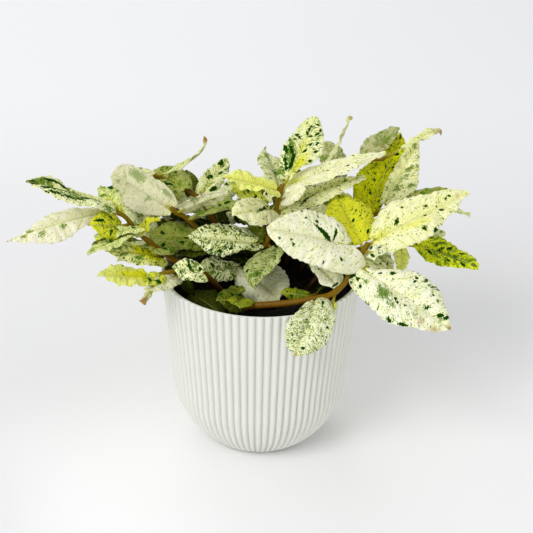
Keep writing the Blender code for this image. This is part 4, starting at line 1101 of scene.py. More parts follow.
CRUMB_FACES = ((0, 8, 4), (0, 6, 8), (0, 4, 6), (1, 8, 7), (1, 5, 8), (1, 7, 5), (2, 6, 9), (2, 5, 6),
               (2, 9, 5), (3, 9, 4), (3, 7, 9), (3, 4, 7), (8, 6, 5), (8, 4, 7), (6, 4, 9), (5, 7, 9))

# Stage and light: each light's place in metres, its width and its power.
FLOOR_SIZE = 8.0
LIGHTS = {
    "key": ((-1.2, -1.4, 1.7), 1.3, 19.0),
    "behind": ((-0.6, 2.0, 1.8), 1.8, 10.8),
    "fill": ((1.9, -1.0, 1.4), 1.8, 1.2),
    "low": ((-0.1, -1.7, 0.5), 0.9, 2.6),
}
WORLD_COLOUR = (0.99, 0.995, 1.0)
WORLD_STRENGTH = 0.53
AIM = Vector((0.0, 0.0, 0.12))


def form_of(key):
    """Form of a leaf's fine blade, by its stem and number."""
    stem, number = key
    return FORMS.get(stem, {}).get(number, Form())


def outline(form, t, hand):
    """Half width of a fine blade on each side, 1 where it is widest."""
    lobe = np.where(hand < 0, form.lobes[0], form.lobes[1])
    start = lobe ** (1 / NEAR_POWER)
    start = form.widest * start / (1 - start)
    near = ((t + start) / (form.widest + start)) ** NEAR_POWER
    far = (np.clip(1 - t, 0.0, 1.0) / (1 - form.widest)) ** form.tip
    return np.minimum(near * far, MOST_REACH)


def ease(x, low, high):
    """Smooth step from 0 at low to 1 at high."""
    x = np.clip((x - low) / (high - low), 0.0, 1.0)
    return x * x * (3 - 2 * x)


def mark_field(mark, x, y, length):
    """How far each point lies inside a mark: 1 at its middle, 0 past its rim."""
    turn = math.radians(mark.turn) * (1 if mark.y >= 0 else -1)
    ahead = x - mark.t * length
    beside = y - mark.y
    along = ahead * math.cos(turn) + beside * math.sin(turn)
    across = beside * math.cos(turn) - ahead * math.sin(turn)
    reach = np.sqrt((along / mark.long) ** 2 + (across / mark.wide) ** 2)
    return mark.strength * np.clip(MARK_CORE - reach, 0.0, 1.0)


def draw_some(count, ranges, draw, unit, half, strength=1.0):
    """Marks with their place, size and lean drawn from ranges; unit is what their half length is of."""
    marks = []
    for _ in range(count):
        t, y, long, wide, turn = (draw.uniform(*limits) for limits in ranges)
        marks.append((t, y * half, unit * long, wide, turn, strength))
    return marks


def drawn_marks(tone, draw, length, half):
    """A leaf's own streaks, blotches and patches, by its tone."""
    dark = draw_some(tone.streaks, STREAK_RANGES, draw, length, half)
    dark += draw_some(tone.blotches, BLOTCH_RANGES, draw, 1.0, half)
    patches = PATCHES if tone.mid > PATCHES_ABOVE else 0
    return {"dark": dark, "mid": draw_some(patches, PATCH_RANGES, draw, length, half, PATCH_STRENGTH)}


def settle(pose, form):
    """A leaf's pose with the small shift and turn of its fine form."""
    heading, rise, roll = (math.radians(angle) for angle in form.turn)
    level = pose.along.cross(Vector((0, 0, 1))).normalized()
    spin = Matrix.Rotation(heading, 3, "Z") @ Matrix.Rotation(rise, 3, level)
    along = spin @ pose.along
    spin = Matrix.Rotation(roll, 3, along) @ spin
    return Pose(pose.base + Vector(form.shift), along, spin @ pose.side, spin @ pose.up, pose.scale)


def blade_sheet(leaf, pose, form, draw):
    """A blade laid flat: a grid of points on both sides of its midrib, out to its toothed edge."""
    length = leaf.length * pose.scale * form.size[0]
    half = 0.5 * leaf.width * pose.scale * form.size[1]
    ripple = leaf.wave * form.calm
    rows = max(LEAST_ROWS, round(length / FINE_ROW_PITCH))
    columns = max(LEAST_COLUMNS, round(half / FINE_COLUMN_PITCH))
    even = np.linspace(0.0, 1.0, rows + 1)
    t = 0.5 * even + 0.25 * (1 - np.cos(math.pi * even))
    t, s = np.meshgrid(t, np.linspace(-1.0, 1.0, 2 * columns + 1), indexing="ij")
    hand = np.where(s < 0, -1, 1)
    out = np.abs(s)

    teeth = max(LEAST_TEETH, round(length / TOOTH_PITCH))
    place = (t * teeth + TOOTH_STAGGER * hand) % 1.0
    still, by_wave = TOOTH_DEPTH_BY_WAVE
    depth = TOOTH_DEPTH * (still + by_wave * ripple) / half
    tooth = depth * (np.sin(math.pi * place ** TOOTH_SKEW) - TOOTH_MEAN) * ease(t, *TEETH_FROM)
    sway = EDGE_SWAY * np.sin(t * EDGE_SWAY_TURNS + draw.uniform(0, 6) + hand)
    span = half * outline(form, t, hand)
    off = form.offset * (1 - t)
    for own_hand, edge in zip((-1, 1), form.edges):
        if edge:
            own = np.interp(t, EDGE_STATIONS, edge) * pose.scale + own_hand * off
            span = np.where(hand == own_hand, own, span)
    wide = np.maximum(LEAST_HALF_WIDTH, span * (1 + tooth + sway)) - off * hand
    return Sheet(t, s, hand, out, off, wide, t * length, out * wide, length, half, ripple)


def side_veins(sheet, pitch, draw):
    """Count of side veins up to each point: whole on a vein, and half between two."""
    seed_turn = draw.uniform(*VEIN_TURNS)
    bend = draw.uniform(*VEIN_BENDS)
    drift = VEIN_DRIFT * np.sin(bend * sheet.x + seed_turn * sheet.hand)
    return (sheet.x - VEIN_SLANT * sheet.y) / pitch + VEIN_STAGGER * sheet.hand + drift


def relief(sheet, form, vein, draw):
    """Height of a blade's face: puckers, bulge, droop, midrib groove, crinkles and waves."""
    t, hand, out, x, y = sheet.t, sheet.hand, sheet.out, sheet.x, sheet.y
    quilt = np.abs(np.sin(math.pi * vein)) ** QUILT_POWER - QUILT_MEAN
    height = QUILT_HEIGHT * quilt * ease(out, *QUILT_FROM) * (1 - QUILT_FADE * out ** 4)
    height = height * min(1.0, sheet.half / QUILT_FULL_WIDTH)
    height += form.puff * BULGE * sheet.wide * np.sin(math.pi * out ** BULGE_POWER)
    height -= form.puff * DROOP * sheet.wide * out ** 3 * (1 + ease(1 - t, TIP_DROOP_FROM, 1.0))
    height -= MIDRIB_GROOVE * np.exp(-(y / MIDRIB_WIDTH) ** 2) * (1 - GROOVE_TAPER * t)
    for i in range(CRINKLES):
        turns = CRINKLE_TURNS * CRINKLE_STEP ** i
        lean = draw.uniform(0, math.pi)
        phase = draw.uniform(0, WHOLE_TURN)
        wave = np.sin(turns * (x * math.cos(lean) + y * math.sin(lean)) + phase + hand)
        height += CRINKLE / CRINKLE_FADE ** i * ease(out, *CRINKLE_FROM) * wave
    turns = draw.uniform(*RUFFLE_TURNS)
    phase = draw.uniform(0, WHOLE_TURN)
    height += RUFFLE * sheet.ripple * out ** 3 * np.sin(x * turns + phase + hand)
    wave = sheet.ripple * np.sin(math.tau * WAVES * t + WAVE_PHASE * hand)
    height += wave * out ** 1.5 * np.minimum(1.0, WAVE_ONSET * t)
    return height


def both_faces(leaf, pose, form, sheet, height, draw):
    """Points of a blade's upper and lower face, once its sheet is bent, twisted and folded."""
    t, hand, y = sheet.t, sheet.hand, sheet.y
    foot = (PETIOLE + form.start) / sheet.length
    curve = np.array(midrib_curve(leaf))
    u = foot + (1 - foot) * t
    known = np.linspace(0.0, 1.0, len(curve))
    forward, upward, slope = (np.interp(u, known, curve[:, i])[..., None] for i in range(3))
    along = np.array(pose.along)
    up = np.array(pose.up)
    side = np.array(pose.side)
    middle = np.array(pose.base) + sheet.length * (along * forward + up * upward)
    tangent = along * np.cos(slope) + up * np.sin(slope)
    normal = up * np.cos(slope) - along * np.sin(slope)
    turn = np.radians(draw.uniform(-TWIST, TWIST)) * (t - TWIST_CENTRE)[..., None]
    side, normal = (side * np.cos(turn) + normal * np.sin(turn),
                    normal * np.cos(turn) - side * np.sin(turn))
    fold = math.radians(leaf.fold)
    ear = np.radians(np.where(hand < 0, form.ears[0], form.ears[1]))
    ear = ear * np.clip(1 - t / EAR_END, 0.0, 1.0) ** EAR_POWER
    across = sheet.off + sheet.s * sheet.wide * np.cos(ear) * math.cos(fold)
    points = (middle + side * across[..., None]
              + normal * (y * math.sin(fold) + height)[..., None]
              - tangent * (y * np.sin(ear))[..., None])
    thick = 0.5 * FINE_THICKNESS * (1 - THIN_EDGE * sheet.out ** 4)
    ridge = MIDRIB_RIDGE * np.exp(-(y / MIDRIB_WIDTH) ** 2) * (1 - RIDGE_TAPER * t)
    return points + normal * thick[..., None], points - normal * (thick + ridge)[..., None]


def blade_read(leaf, key, sheet, vein, pitch, draw):
    """What the leaf's material reads at each point of a blade's upper face."""
    tone = TONES[leaf.tone]
    t = sheet.t
    signed = sheet.s * sheet.wide
    stem, number = key
    marks = MARKS.get(stem, {}).get(number) or drawn_marks(tone, draw, sheet.length, sheet.half)
    fields = {kind: np.zeros_like(t) for kind in MARK_KINDS}
    for kind, listed in marks.items():
        for mark in listed:
            fields[kind] = np.maximum(fields[kind], mark_field(Mark(*mark), sheet.x, signed, sheet.length))
    clear = 1 - fields["clear"]
    flecks = (tone.flecks + FLECK_MARK * fields["flecks"]) * clear
    mid = (tone.mid + fields["mid"]) * clear
    wash = tone.yellow * np.exp(-(sheet.y / (WASH_WIDTH * sheet.half)) ** 2) * (1 - WASH_TAPER * t)
    yellow = np.clip(wash + fields["yellow"], 0, 1)
    seed = draw.uniform(*SEEDS)
    tint = np.array(tone.tint) * draw.uniform(*SHADES)
    style = np.array([tone.net, tone.size, tone.green])
    return {
        "blade": np.stack([sheet.x, signed, np.full_like(t, seed)], -1),
        "paint": np.stack([flecks, mid, fields["dark"]], -1),
        "wash": np.stack([yellow, fields["brown"], np.zeros_like(t)], -1),
        "tint": np.broadcast_to(tint, t.shape + (3,)),
        "veins": np.stack([vein, np.full_like(t, pitch), sheet.out], -1),
        "style": np.broadcast_to(style, t.shape + (3,)),
    }


def fine_blade(leaf, pose, key):
    """Points of a fine blade's upper face and of its lower face, with what its material reads."""
    draw = random.Random("%s %d" % key)
    form = form_of(key)
    pose = settle(pose, form)
    sheet = blade_sheet(leaf, pose, form, draw)
    pitch = sheet.length / VEINS_A_SIDE
    vein = side_veins(sheet, pitch, draw)
    height = relief(sheet, form, vein, draw)
    upper, lower = both_faces(leaf, pose, form, sheet, height, draw)
    return upper, lower, blade_read(leaf, key, sheet, vein, pitch, draw)


def new_object(name, data):
    """An object with some data, linked to the scene."""
    thing = bpy.data.objects.new(name, data)
    bpy.context.scene.collection.objects.link(thing)
    return thing


def outward(points, faces):
    """The faces of one closed shell, turned round where they would look inward."""
    middle = points.mean(axis=0)
    a, b, c, d = (points[faces[:, i]] - middle for i in range(4))
    volume = (np.cross(a, b) * c).sum() + (np.cross(a, c) * d).sum()
    return faces if volume > 0 else faces[:, ::-1]


class Gather:
    """Points, faces and attributes of several shells that become one piece."""

    def __init__(self):
        self.points = []
        self.faces = []
        self.slots = []
        self.count = 0
        self.fields = {name: [] for name in FIELDS}

    def add(self, points, faces, slot, read):
        """Add one closed shell, with its faces as rows of four point numbers."""
        points = points.reshape(-1, 3)
        faces = outward(points, faces)
        self.points.append(points)
        self.faces.append(faces + self.count)
        self.slots.append(np.full(len(faces), slot))
        for name, values in self.fields.items():
            values.append(read[name].reshape(-1, 3))
        self.count += len(points)

    def piece(self, name, materials):
        """The object with all that was gathered, in metres."""
        mesh = bpy.data.meshes.new(name)
        points = np.concatenate(self.points) * MM
        faces = np.concatenate(self.faces)
        mesh.vertices.add(len(points))
        mesh.vertices.foreach_set("co", points.ravel())
        mesh.loops.add(faces.size)
        mesh.loops.foreach_set("vertex_index", faces.ravel())
        mesh.polygons.add(len(faces))
        mesh.polygons.foreach_set("loop_start", np.arange(0, faces.size, 4))
        mesh.polygons.foreach_set("loop_total", np.full(len(faces), 4))
        mesh.polygons.foreach_set("material_index", np.concatenate(self.slots))
        for field, values in self.fields.items():
            attribute = mesh.attributes.new(field, "FLOAT_VECTOR", "POINT")
            attribute.data.foreach_set("vector", np.concatenate(values).ravel())
        mesh.update(calc_edges=True)
        mesh.validate()
        mesh.shade_smooth()
        for material in materials:
            mesh.materials.append(material)
        return new_object(name, mesh)


def grid_faces(rows, columns, wrap):
    """Quads of a grid of points; wrap joins the last column to the first."""
    i, j = np.meshgrid(np.arange(rows - 1), np.arange(columns if wrap else columns - 1), indexing="ij")
    n = (j + 1) % columns
    corners = [i * columns + j, i * columns + n, (i + 1) * columns + n, (i + 1) * columns + j]
    return np.stack(corners, -1).reshape(-1, 4)


def turned_faces(rows, sides):
    """Faces of a closed shell of rows of points round an axis, with a flat face on each end."""
    faces = [tuple(face) for face in grid_faces(rows, sides, True)]
    faces.append(tuple(range(sides))[::-1])
    faces.append(tuple(range((rows - 1) * sides, rows * sides)))
    return faces


def border(rows, columns):
    """Point numbers round the edge of a grid."""
    top = np.arange(columns)
    right = np.arange(1, rows) * columns + columns - 1
    bottom = (rows - 1) * columns + np.arange(columns - 2, -1, -1)
    left = np.arange(rows - 2, 0, -1) * columns
    return np.concatenate([top, right, bottom, left])


def add_blade(gather, leaf, pose, key):
    """A fine blade with both faces and its edge."""
    upper, lower, read = fine_blade(leaf, pose, key)
    rows, columns = upper.shape[:2]
    sheet = grid_faces(rows, columns, False)
    count = rows * columns
    ring = border(rows, columns)
    after = np.roll(ring, -1)
    wall = np.stack([ring, ring + count, after + count, after], -1)
    faces = np.concatenate([sheet[:, ::-1], sheet + count, wall[:, ::-1]])
    both = {name: np.stack([values, values]) for name, values in read.items()}
    both["wash"][1, ..., 2] = 1.0
    gather.add(np.stack([upper, lower]), faces, BLADE_SLOT, both)


def rings(places, radii, sides):
    """Rings of points round a line, without twist, each with its radius."""
    points = []
    across = (places[2] - places[0]).orthogonal()
    for i, place in enumerate(places):
        j = min(max(i, 1), len(places) - 2)
        ahead = (places[j + 1] - places[j - 1]).normalized()
        across = (across - ahead * across.dot(ahead)).normalized()
        upright = ahead.cross(across)
        for k in range(sides):
            angle = math.tau * k / sides
            points.append(place + radii[i] * (across * math.cos(angle) + upright * math.sin(angle)))
    return np.array(points).reshape(len(places), sides, 3)


def add_tube(gather, places, radii, sides, read_row):
    """A closed tube along a line, with flat ends of quads."""
    places = [places[0]] + list(places) + [places[-1]]
    radii = [END_SHARE * radii[0]] + list(radii) + [END_SHARE * radii[-1]]
    points = rings(places, radii, sides)
    i = np.arange(sides // 2 - 1)
    lid = np.stack([i, i + 1, sides - 2 - i, sides - 1 - i], -1)
    last = (len(places) - 1) * sides
    faces = np.concatenate([grid_faces(len(places), sides, True), lid[:, ::-1], lid + last])
    read = {}
    for name, values in read_row.items():
        values = np.concatenate([values[:1], values, values[-1:]])
        read[name] = np.repeat(values[:, None, :], sides, axis=1)
    gather.add(points, faces, STEM_SLOT, read)


def tube_read(distances, youth, seed):
    """What the stem's material reads along a tube: distance, and how young it is, 0 to 1."""
    blank = np.zeros((len(distances), 3))
    zeros = blank[:, 0]
    read = {name: blank for name in FIELDS}
    read["blade"] = np.stack([distances, zeros, zeros + seed], -1)
    read["paint"] = np.stack([youth, zeros, zeros], -1)
    return read


def add_stem(gather, stem, path, seed):
    """The stem's own smooth tube, a little thicker where each leaf stands."""
    whole = path_length(path)
    count = max(LEAST_RINGS, round(whole / FINE_RING_PITCH))
    foot = Vector((*stem.root, SOIL_TOP - HOLE_DEPTH + GAP))
    fractions = [i / count for i in range(count + 1)]
    places = [foot] + [on_path(path, f) for f in fractions]
    radii = [stem.girth]
    for f in fractions:
        swelling = sum(math.exp(-((f - leaf.at) * whole / NODE_REACH) ** 2) for leaf in stem.leaves)
        radii.append(stem.girth * (1 - (1 - TIP_GIRTH) * f) * (1 + NODE_SWELLING * min(1.0, swelling)))
    fractions = np.array([0.0] + fractions)
    add_tube(gather, places, radii, FINE_SIDES, tube_read(fractions * whole, STEM_YOUTH * fractions, seed))


def add_petiole(gather, leaf, pose, key, seed):
    """The short stalk from the stem's axis into the foot of the blade, under its midrib."""
    form = form_of(key)
    settled = settle(pose, form)
    length = leaf.length * pose.scale * form.size[0]
    curve = midrib_curve(leaf)

    def midrib(u):
        """Point on the settled midrib at u, from 0 at the stem to 1 at the tip."""
        forward, upward, _ = on_midrib(curve, u)
        return settled.base + length * (settled.along * forward + settled.up * upward)

    inner = (PETIOLE + form.start) / length
    foot = midrib(inner) + settled.side * form.offset
    under = midrib(PETIOLE_UNDER * inner) + (settled.side * form.offset - settled.up * PETIOLE_SINK)
    start = pose.base
    bend = start.lerp(foot, 0.5) - Vector((0, 0, PETIOLE_SAG))
    places = []
    radii = []
    for i in range(PETIOLE_STEPS + 1):
        f = i / PETIOLE_STEPS
        low = start.lerp(bend, f)
        high = bend.lerp(under, f)
        places.append(low.lerp(high, f))
        radii.append(PETIOLE_RADII[0] + (PETIOLE_RADII[1] - PETIOLE_RADII[0]) * f)
    fractions = np.linspace(0, 1, PETIOLE_STEPS + 1)
    least, by_height, by_reach = PETIOLE_YOUTH
    youth = np.clip(least + by_height * leaf.at + by_reach * fractions, 0, 1)
    add_tube(gather, places, radii, PETIOLE_SIDES, tube_read(fractions * PETIOLE, youth, seed))


def build_stem(stem, inner, path, poses, materials, number):
    """A leafy stem in fine detail, in the place of its node."""
    gather = Gather()
    seed = SEED_STEP * number
    add_stem(gather, stem, path, seed)
    leaves = list(enumerate(stem.leaves)) + list(enumerate(inner.get(stem.name, ()), INNER_FROM))
    for index, leaf in leaves:
        key = (stem.name, index)
        if key in poses:
            add_petiole(gather, leaf, poses[key], key, seed + index)
            add_blade(gather, leaf, poses[key], key)
    thing = gather.piece(stem.name + "_fine", materials)
    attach(thing, BODY)
    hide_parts(stem.name)


class Nodes:
    """A material's nodes: each call adds one and returns the socket it gives."""

    def __init__(self, name):
        self.material = bpy.data.materials.new(name)
        self.material.use_nodes = True
        self.tree = self.material.node_tree
        self.shader = self.tree.nodes["Principled BSDF"]

    def put(self, socket, value):
        """Link a socket, or set its value."""
        if isinstance(value, bpy.types.NodeSocket):
            self.tree.links.new(value, socket)
        elif isinstance(value, tuple) and len(value) == 3 and socket.type == "RGBA":
            socket.default_value = (*value, 1.0)
        else:
            socket.default_value = value

    def add(self, kind, out, inputs, **settings):
        """One node of a kind, with its settings and inputs, by name or place."""
        node = self.tree.nodes.new("ShaderNode" + kind)
        for name, value in settings.items():
            setattr(node, name, value)
        for name, value in inputs.items():
            self.put(node.inputs[name], value)
        return node.outputs[out]

    def field(self, name, out="Vector"):
        """A named attribute of the mesh."""
        return self.add("Attribute", out, {}, attribute_name=name)

    def split(self, vector):
        """The three parts of a vector."""
        node = self.tree.nodes.new("ShaderNodeSeparateXYZ")
        self.put(node.inputs[0], vector)
        return list(node.outputs)

    def join(self, x, y, z):
        """A vector of three parts."""
        return self.add("CombineXYZ", 0, {0: x, 1: y, 2: z})

    def math(self, operation, a, b=0.0, c=0.0, clamp=False):
        """Arithmetic on numbers."""
        return self.add("Math", 0, {0: a, 1: b, 2: c}, operation=operation, use_clamp=clamp)

    def times(self, a, b):
        """Product of two numbers."""
        return self.math("MULTIPLY", a, b)

    def sum(self, a, share, b):
        """A share of a, added to b."""
        return self.math("MULTIPLY_ADD", a, share, b)

    def stir(self, cloud, share, value):
        """A value moved up and down by a noise."""
        return self.sum(self.math("SUBTRACT", cloud, 0.5), share, value)

    def step(self, value, low, high, to_low=0.0, to_high=1.0):
        """Smooth step of a value between two limits."""
        return self.add("MapRange", 0, {"Value": value, "From Min": low, "From Max": high,
                                        "To Min": to_low, "To Max": to_high},
                        interpolation_type="SMOOTHSTEP")

    def mix(self, share, a, b, way="MIX"):
        """Colour a turning into colour b."""
        return self.add("Mix", MIX_RESULT, {MIX_FACTOR: share, MIX_A: a, MIX_B: b}, data_type="RGBA",
                        blend_type=way)

    def noise(self, vector, scale, detail=2.0, rough=0.5):
        """Cloudy noise, 0.5 on average."""
        return self.add("TexNoise", "Fac", {"Vector": vector, "Scale": scale, "Detail": detail,
                                            "Roughness": rough})

    def bump(self, height, distance, strength=1.0):
        """A normal bent by a height."""
        return self.add("Bump", "Normal", {"Height": height, "Distance": distance,
                                           "Strength": strength})

    def finish(self, colour, roughness, normal=None, **constants):
        """Give the shader its colour, roughness and normal, and its constant values."""
        self.put(self.shader.inputs["Base Color"], colour)
        self.put(self.shader.inputs["Roughness"], roughness)
        if normal:
            self.put(self.shader.inputs["Normal"], normal)
        for name, value in constants.items():
            self.put(self.shader.inputs[name.replace("_", " ")], value)
        return self.material


def leaf_material():
    """Variegated leaf, with its layers from the ground colour up."""
    n = Nodes("leaf")
    x, y, seed = n.split(n.field("blade"))
    flecks, mid, dark = n.split(n.field("paint"))
    yellow, brown, under = n.split(n.field("wash"))
    vein, pitch, reach = n.split(n.field("veins"))
    net, size, green = n.split(n.field("style"))
    tint = n.field("tint", "Color")

    # Noises that run along the side veins and differ between the halves and between the leaves.
    out = n.math("ABSOLUTE", y)
    across = n.sum(out, -VEIN_SLANT, x)
    shift = n.sum(n.math("GREATER_THAN", y, 0.0), HALVES_APART, seed)
    streaky = n.join(across, n.times(out, ACROSS_VEINS), shift)
    streaky = n.add("VectorMath", 0, {0: streaky, "Scale": size}, operation="SCALE")
    fine = n.noise(streaky, *FINE_NOISE)
    spots = n.noise(n.add("VectorMath", 0, {0: streaky, 1: SPOTS_APART}, operation="ADD"), *SPOT_NOISE)
    coarse = n.noise(streaky, *COARSE_NOISE)
    grain = n.noise(streaky, *GRAIN_NOISE)

    # Ground colour, yellow wash and patches of mid green.
    shifted = n.step(coarse, *SHIFT_LIMITS, 0.0, 0.45)
    ground = n.mix(shifted, tint, n.mix(1.0, tint, SHIFT, "MULTIPLY"))
    ground = n.mix(yellow, ground, YELLOW)
    patch = n.math("ADD", n.times(coarse, 0.50), n.times(fine, 0.50))
    patch = n.sum(mid, 0.20, patch)
    patch = n.stir(grain, 0.38, patch)
    ground = n.mix(n.step(patch, *PATCH_LIMITS, 0.0, 0.92), ground, MID_GREEN)

    # Painted shade in the creases along the side veins, faint specks and the pale net.
    line = n.math("ABSOLUTE", n.math("SUBTRACT", vein, n.math("ROUND", vein)))
    line = n.times(line, pitch)
    crease_shaded = n.mix(1.0, ground, CREASE_SHADE, "MULTIPLY")
    crease = n.times(n.step(line, *CREASE_FADE, 0.55, 0.0), n.step(coarse, 0.35, 0.6, 0.3, 1.0))
    ground = n.mix(n.times(crease, n.step(out, *CREASE_START)), ground, crease_shaded)
    faint = n.math("MULTIPLY_ADD", flecks, 0.40, 0.50, clamp=True)
    faint = n.times(faint, n.step(n.sum(coarse, 0.3, grain), *FAINT_LIMITS))
    ground = n.mix(n.times(faint, 0.75), ground, n.mix(1.0, ground, SPECK, "MULTIPLY"))
    strength = n.times(n.step(line, *VEIN_FADE, 1.0, 0.0), net)
    ground = n.mix(n.times(strength, n.step(reach, 0.75, 0.98, 1.0, 0.0)), ground, VEIN)

    # Dark flecks and small blots, greener or darker by the leaf's style.
    ragged = n.stir(grain, 0.22, fine)
    ragged = n.stir(coarse, 0.28, ragged)
    dots = n.step(n.sum(flecks, 0.125, ragged), *DOT_LIMITS)
    blots = n.step(n.sum(flecks, 0.09, spots), *BLOT_LIMITS)
    speck = n.math("MAXIMUM", dots, n.times(blots, n.step(grain, 0.3, 0.45)))
    darker = n.sum(green, -0.4, spots)
    green = n.mix(n.step(darker, *GREEN_LIMITS), MID_GREEN, DARK_GREEN)
    ground = n.mix(n.times(speck, 0.95), ground, green)

    # Dark marks with a ragged paler rim, the midrib, worn brown places and the underside.
    rim = n.stir(fine, 1.1, dark)
    rim = n.stir(grain, 0.35, rim)
    ground = n.mix(n.step(rim, *RIM_LIMITS, 0.0, 0.75), ground, MID_GREEN)
    ground = n.mix(n.step(rim, *MARK_LIMITS), ground, DARK_GREEN)
    midrib = n.sum(net, 1.2, 0.12)
    ground = n.mix(n.times(n.step(out, *MIDRIB_FADE, 1.0, 0.0), midrib), ground, VEIN)
    worn = n.times(brown, n.step(coarse, *WORN_LIMITS))
    ground = n.mix(worn, ground, BROWN)
    ground = n.mix(n.times(under, 0.3), ground, UNDERSIDE)
    height = n.sum(fine, 0.5, grain)
    return n.finish(ground, 0.5, n.bump(height, 0.25 * MM, 0.5), Subsurface_Weight=0.3,
                    Subsurface_Scale=0.6 * MM, Subsurface_Radius=(1.0, 0.95, 0.25),
                    Specular_IOR_Level=0.05)


def stem_material():
    """Stem: reddish brown below, olive above, with faint lengthwise streaks."""
    n = Nodes("stem")
    along, _, seed = n.split(n.field("blade"))
    young, _, _ = n.split(n.field("paint"))
    place = n.add("TexCoord", "Object", {})
    _, back, height = n.split(place)
    streaks = n.noise(place, *STEM_STREAKS)
    bands = n.noise(n.join(along, seed, 0.0), *STEM_BANDS)
    colour = n.mix(n.step(young, 0.10, 0.75), STEM_OLD, STEM_GROWN)
    colour = n.mix(n.step(young, 0.75, 1.0), colour, STEM_YOUNG)
    colour = n.mix(n.times(n.step(bands, 0.4, 0.65), 0.5), colour, STEM_BAND)
    colour = n.mix(n.times(n.step(streaks, 0.45, 0.7), 0.35), colour, STEM_STREAK)
    lowest, highest = ((SOIL_TOP + height) * MM for height in STEM_SHADE_HEIGHTS)
    low = n.step(height, lowest, highest, 0.95, 0.0)
    low = n.times(low, n.step(back, *STEM_SHADE_FRONT))
    colour = n.mix(low, colour, STEM_SHADED)
    return n.finish(colour, 0.42, n.bump(streaks, 0.2 * MM, 0.4), Subsurface_Weight=0.1,
                    Subsurface_Scale=1.5 * MM, Subsurface_Radius=(1.0, 0.6, 0.3),
                    Specular_IOR_Level=0.2)


def pot_material():
    """Matt off-white plastic: fine grain, painted shade in the grooves and on the inner wall above the
    soil.
    """
    n = Nodes("pot_white")
    place = n.add("TexCoord", "Object", {})
    _, groove, inside = n.split(n.field("pot"))
    _, _, height = n.split(place)
    grain = n.noise(place, *POT_GRAIN)
    cloud = n.noise(place, *POT_CLOUD)
    shade_edge = n.noise(place, *POT_SHADE_EDGE)
    colour = n.mix(n.step(cloud, 0.35, 0.65, 0.0, 0.4), POT_WHITE, POT_DULL)
    # Painted shade in the grooves between the ribs.
    colour = n.mix(n.times(groove, 0.30), colour, POT_GROOVE_SHADE)
    # Painted shade on the inner wall: darkest near the soil, fading out below the rim.
    inner_shade = n.stir(shade_edge, 0.030, height)
    above, below = INNER_SHADE_ROOM
    inner_shade = n.step(inner_shade, (SOIL_TOP + above) * MM, (POT_HEIGHT - below) * MM, 1.0, 0.0)
    colour = n.mix(n.times(inner_shade, inside), colour, POT_INNER_SHADE)
    rough = n.step(cloud, 0.3, 0.7, 0.38, 0.5)
    return n.finish(colour, rough, n.bump(grain, 0.05 * MM, 0.35), Specular_IOR_Level=0.4)


def soil_material():
    """Dark moist soil with paler crumbs."""
    n = Nodes("soil")
    place = n.add("TexCoord", "Object", {})
    crumbs = n.noise(place, *SOIL_CRUMBS)
    patches = n.noise(place, *SOIL_PATCHES)
    colour = n.mix(n.step(crumbs, 0.42, 0.68), SOIL_MOIST, SOIL_CRUMB)
    colour = n.mix(n.times(n.step(patches, 0.5, 0.7), 0.5), colour, SOIL_GREEN)
    return n.finish(colour, 0.92, n.bump(crumbs, 1.2 * MM, 0.9))


def valley(angle):
    """Depth of the narrow groove between two rounded ribs, 1 at its bottom."""
    return (1 - np.abs(np.sin(0.5 * RIBS * angle))) ** GROOVE_SHARPNESS


def revolved(rows, sides, material):
    """The pot's closed shell from rows of (radius, height, groove share, inside) turned about Z."""
    rows = np.array(rows)
    angle = np.arange(sides) * math.tau / sides
    fade = np.minimum(1.0, GROOVE_LEFT_AT_FOOT + rows[:, 1] / GROOVE_FADE_HEIGHT)
    groove = rows[:, 2:3] * valley(angle)[None, :]
    radius = rows[:, 0:1] - FINE_GROOVE_DEPTH * fade[:, None] * groove
    height = np.repeat(rows[:, 1:2], sides, axis=1)
    points = np.stack([radius * np.cos(angle), radius * np.sin(angle), height], -1).reshape(-1, 3)
    mesh = bpy.data.meshes.new("pot_fine")
    mesh.from_pydata([tuple(p * MM) for p in points], [], turned_faces(len(rows), sides))
    inside = np.repeat(rows[:, 3:4], sides, axis=1)
    read = np.stack([np.zeros_like(groove), groove, inside], -1)
    attribute = mesh.attributes.new("pot", "FLOAT_VECTOR", "POINT")
    attribute.data.foreach_set("vector", read.ravel())
    mesh.shade_smooth()
    mesh.set_sharp_from_angle(angle=math.radians(POT_SHARP_ANGLE))
    mesh.materials.append(material)
    return new_object("pot_fine", mesh)


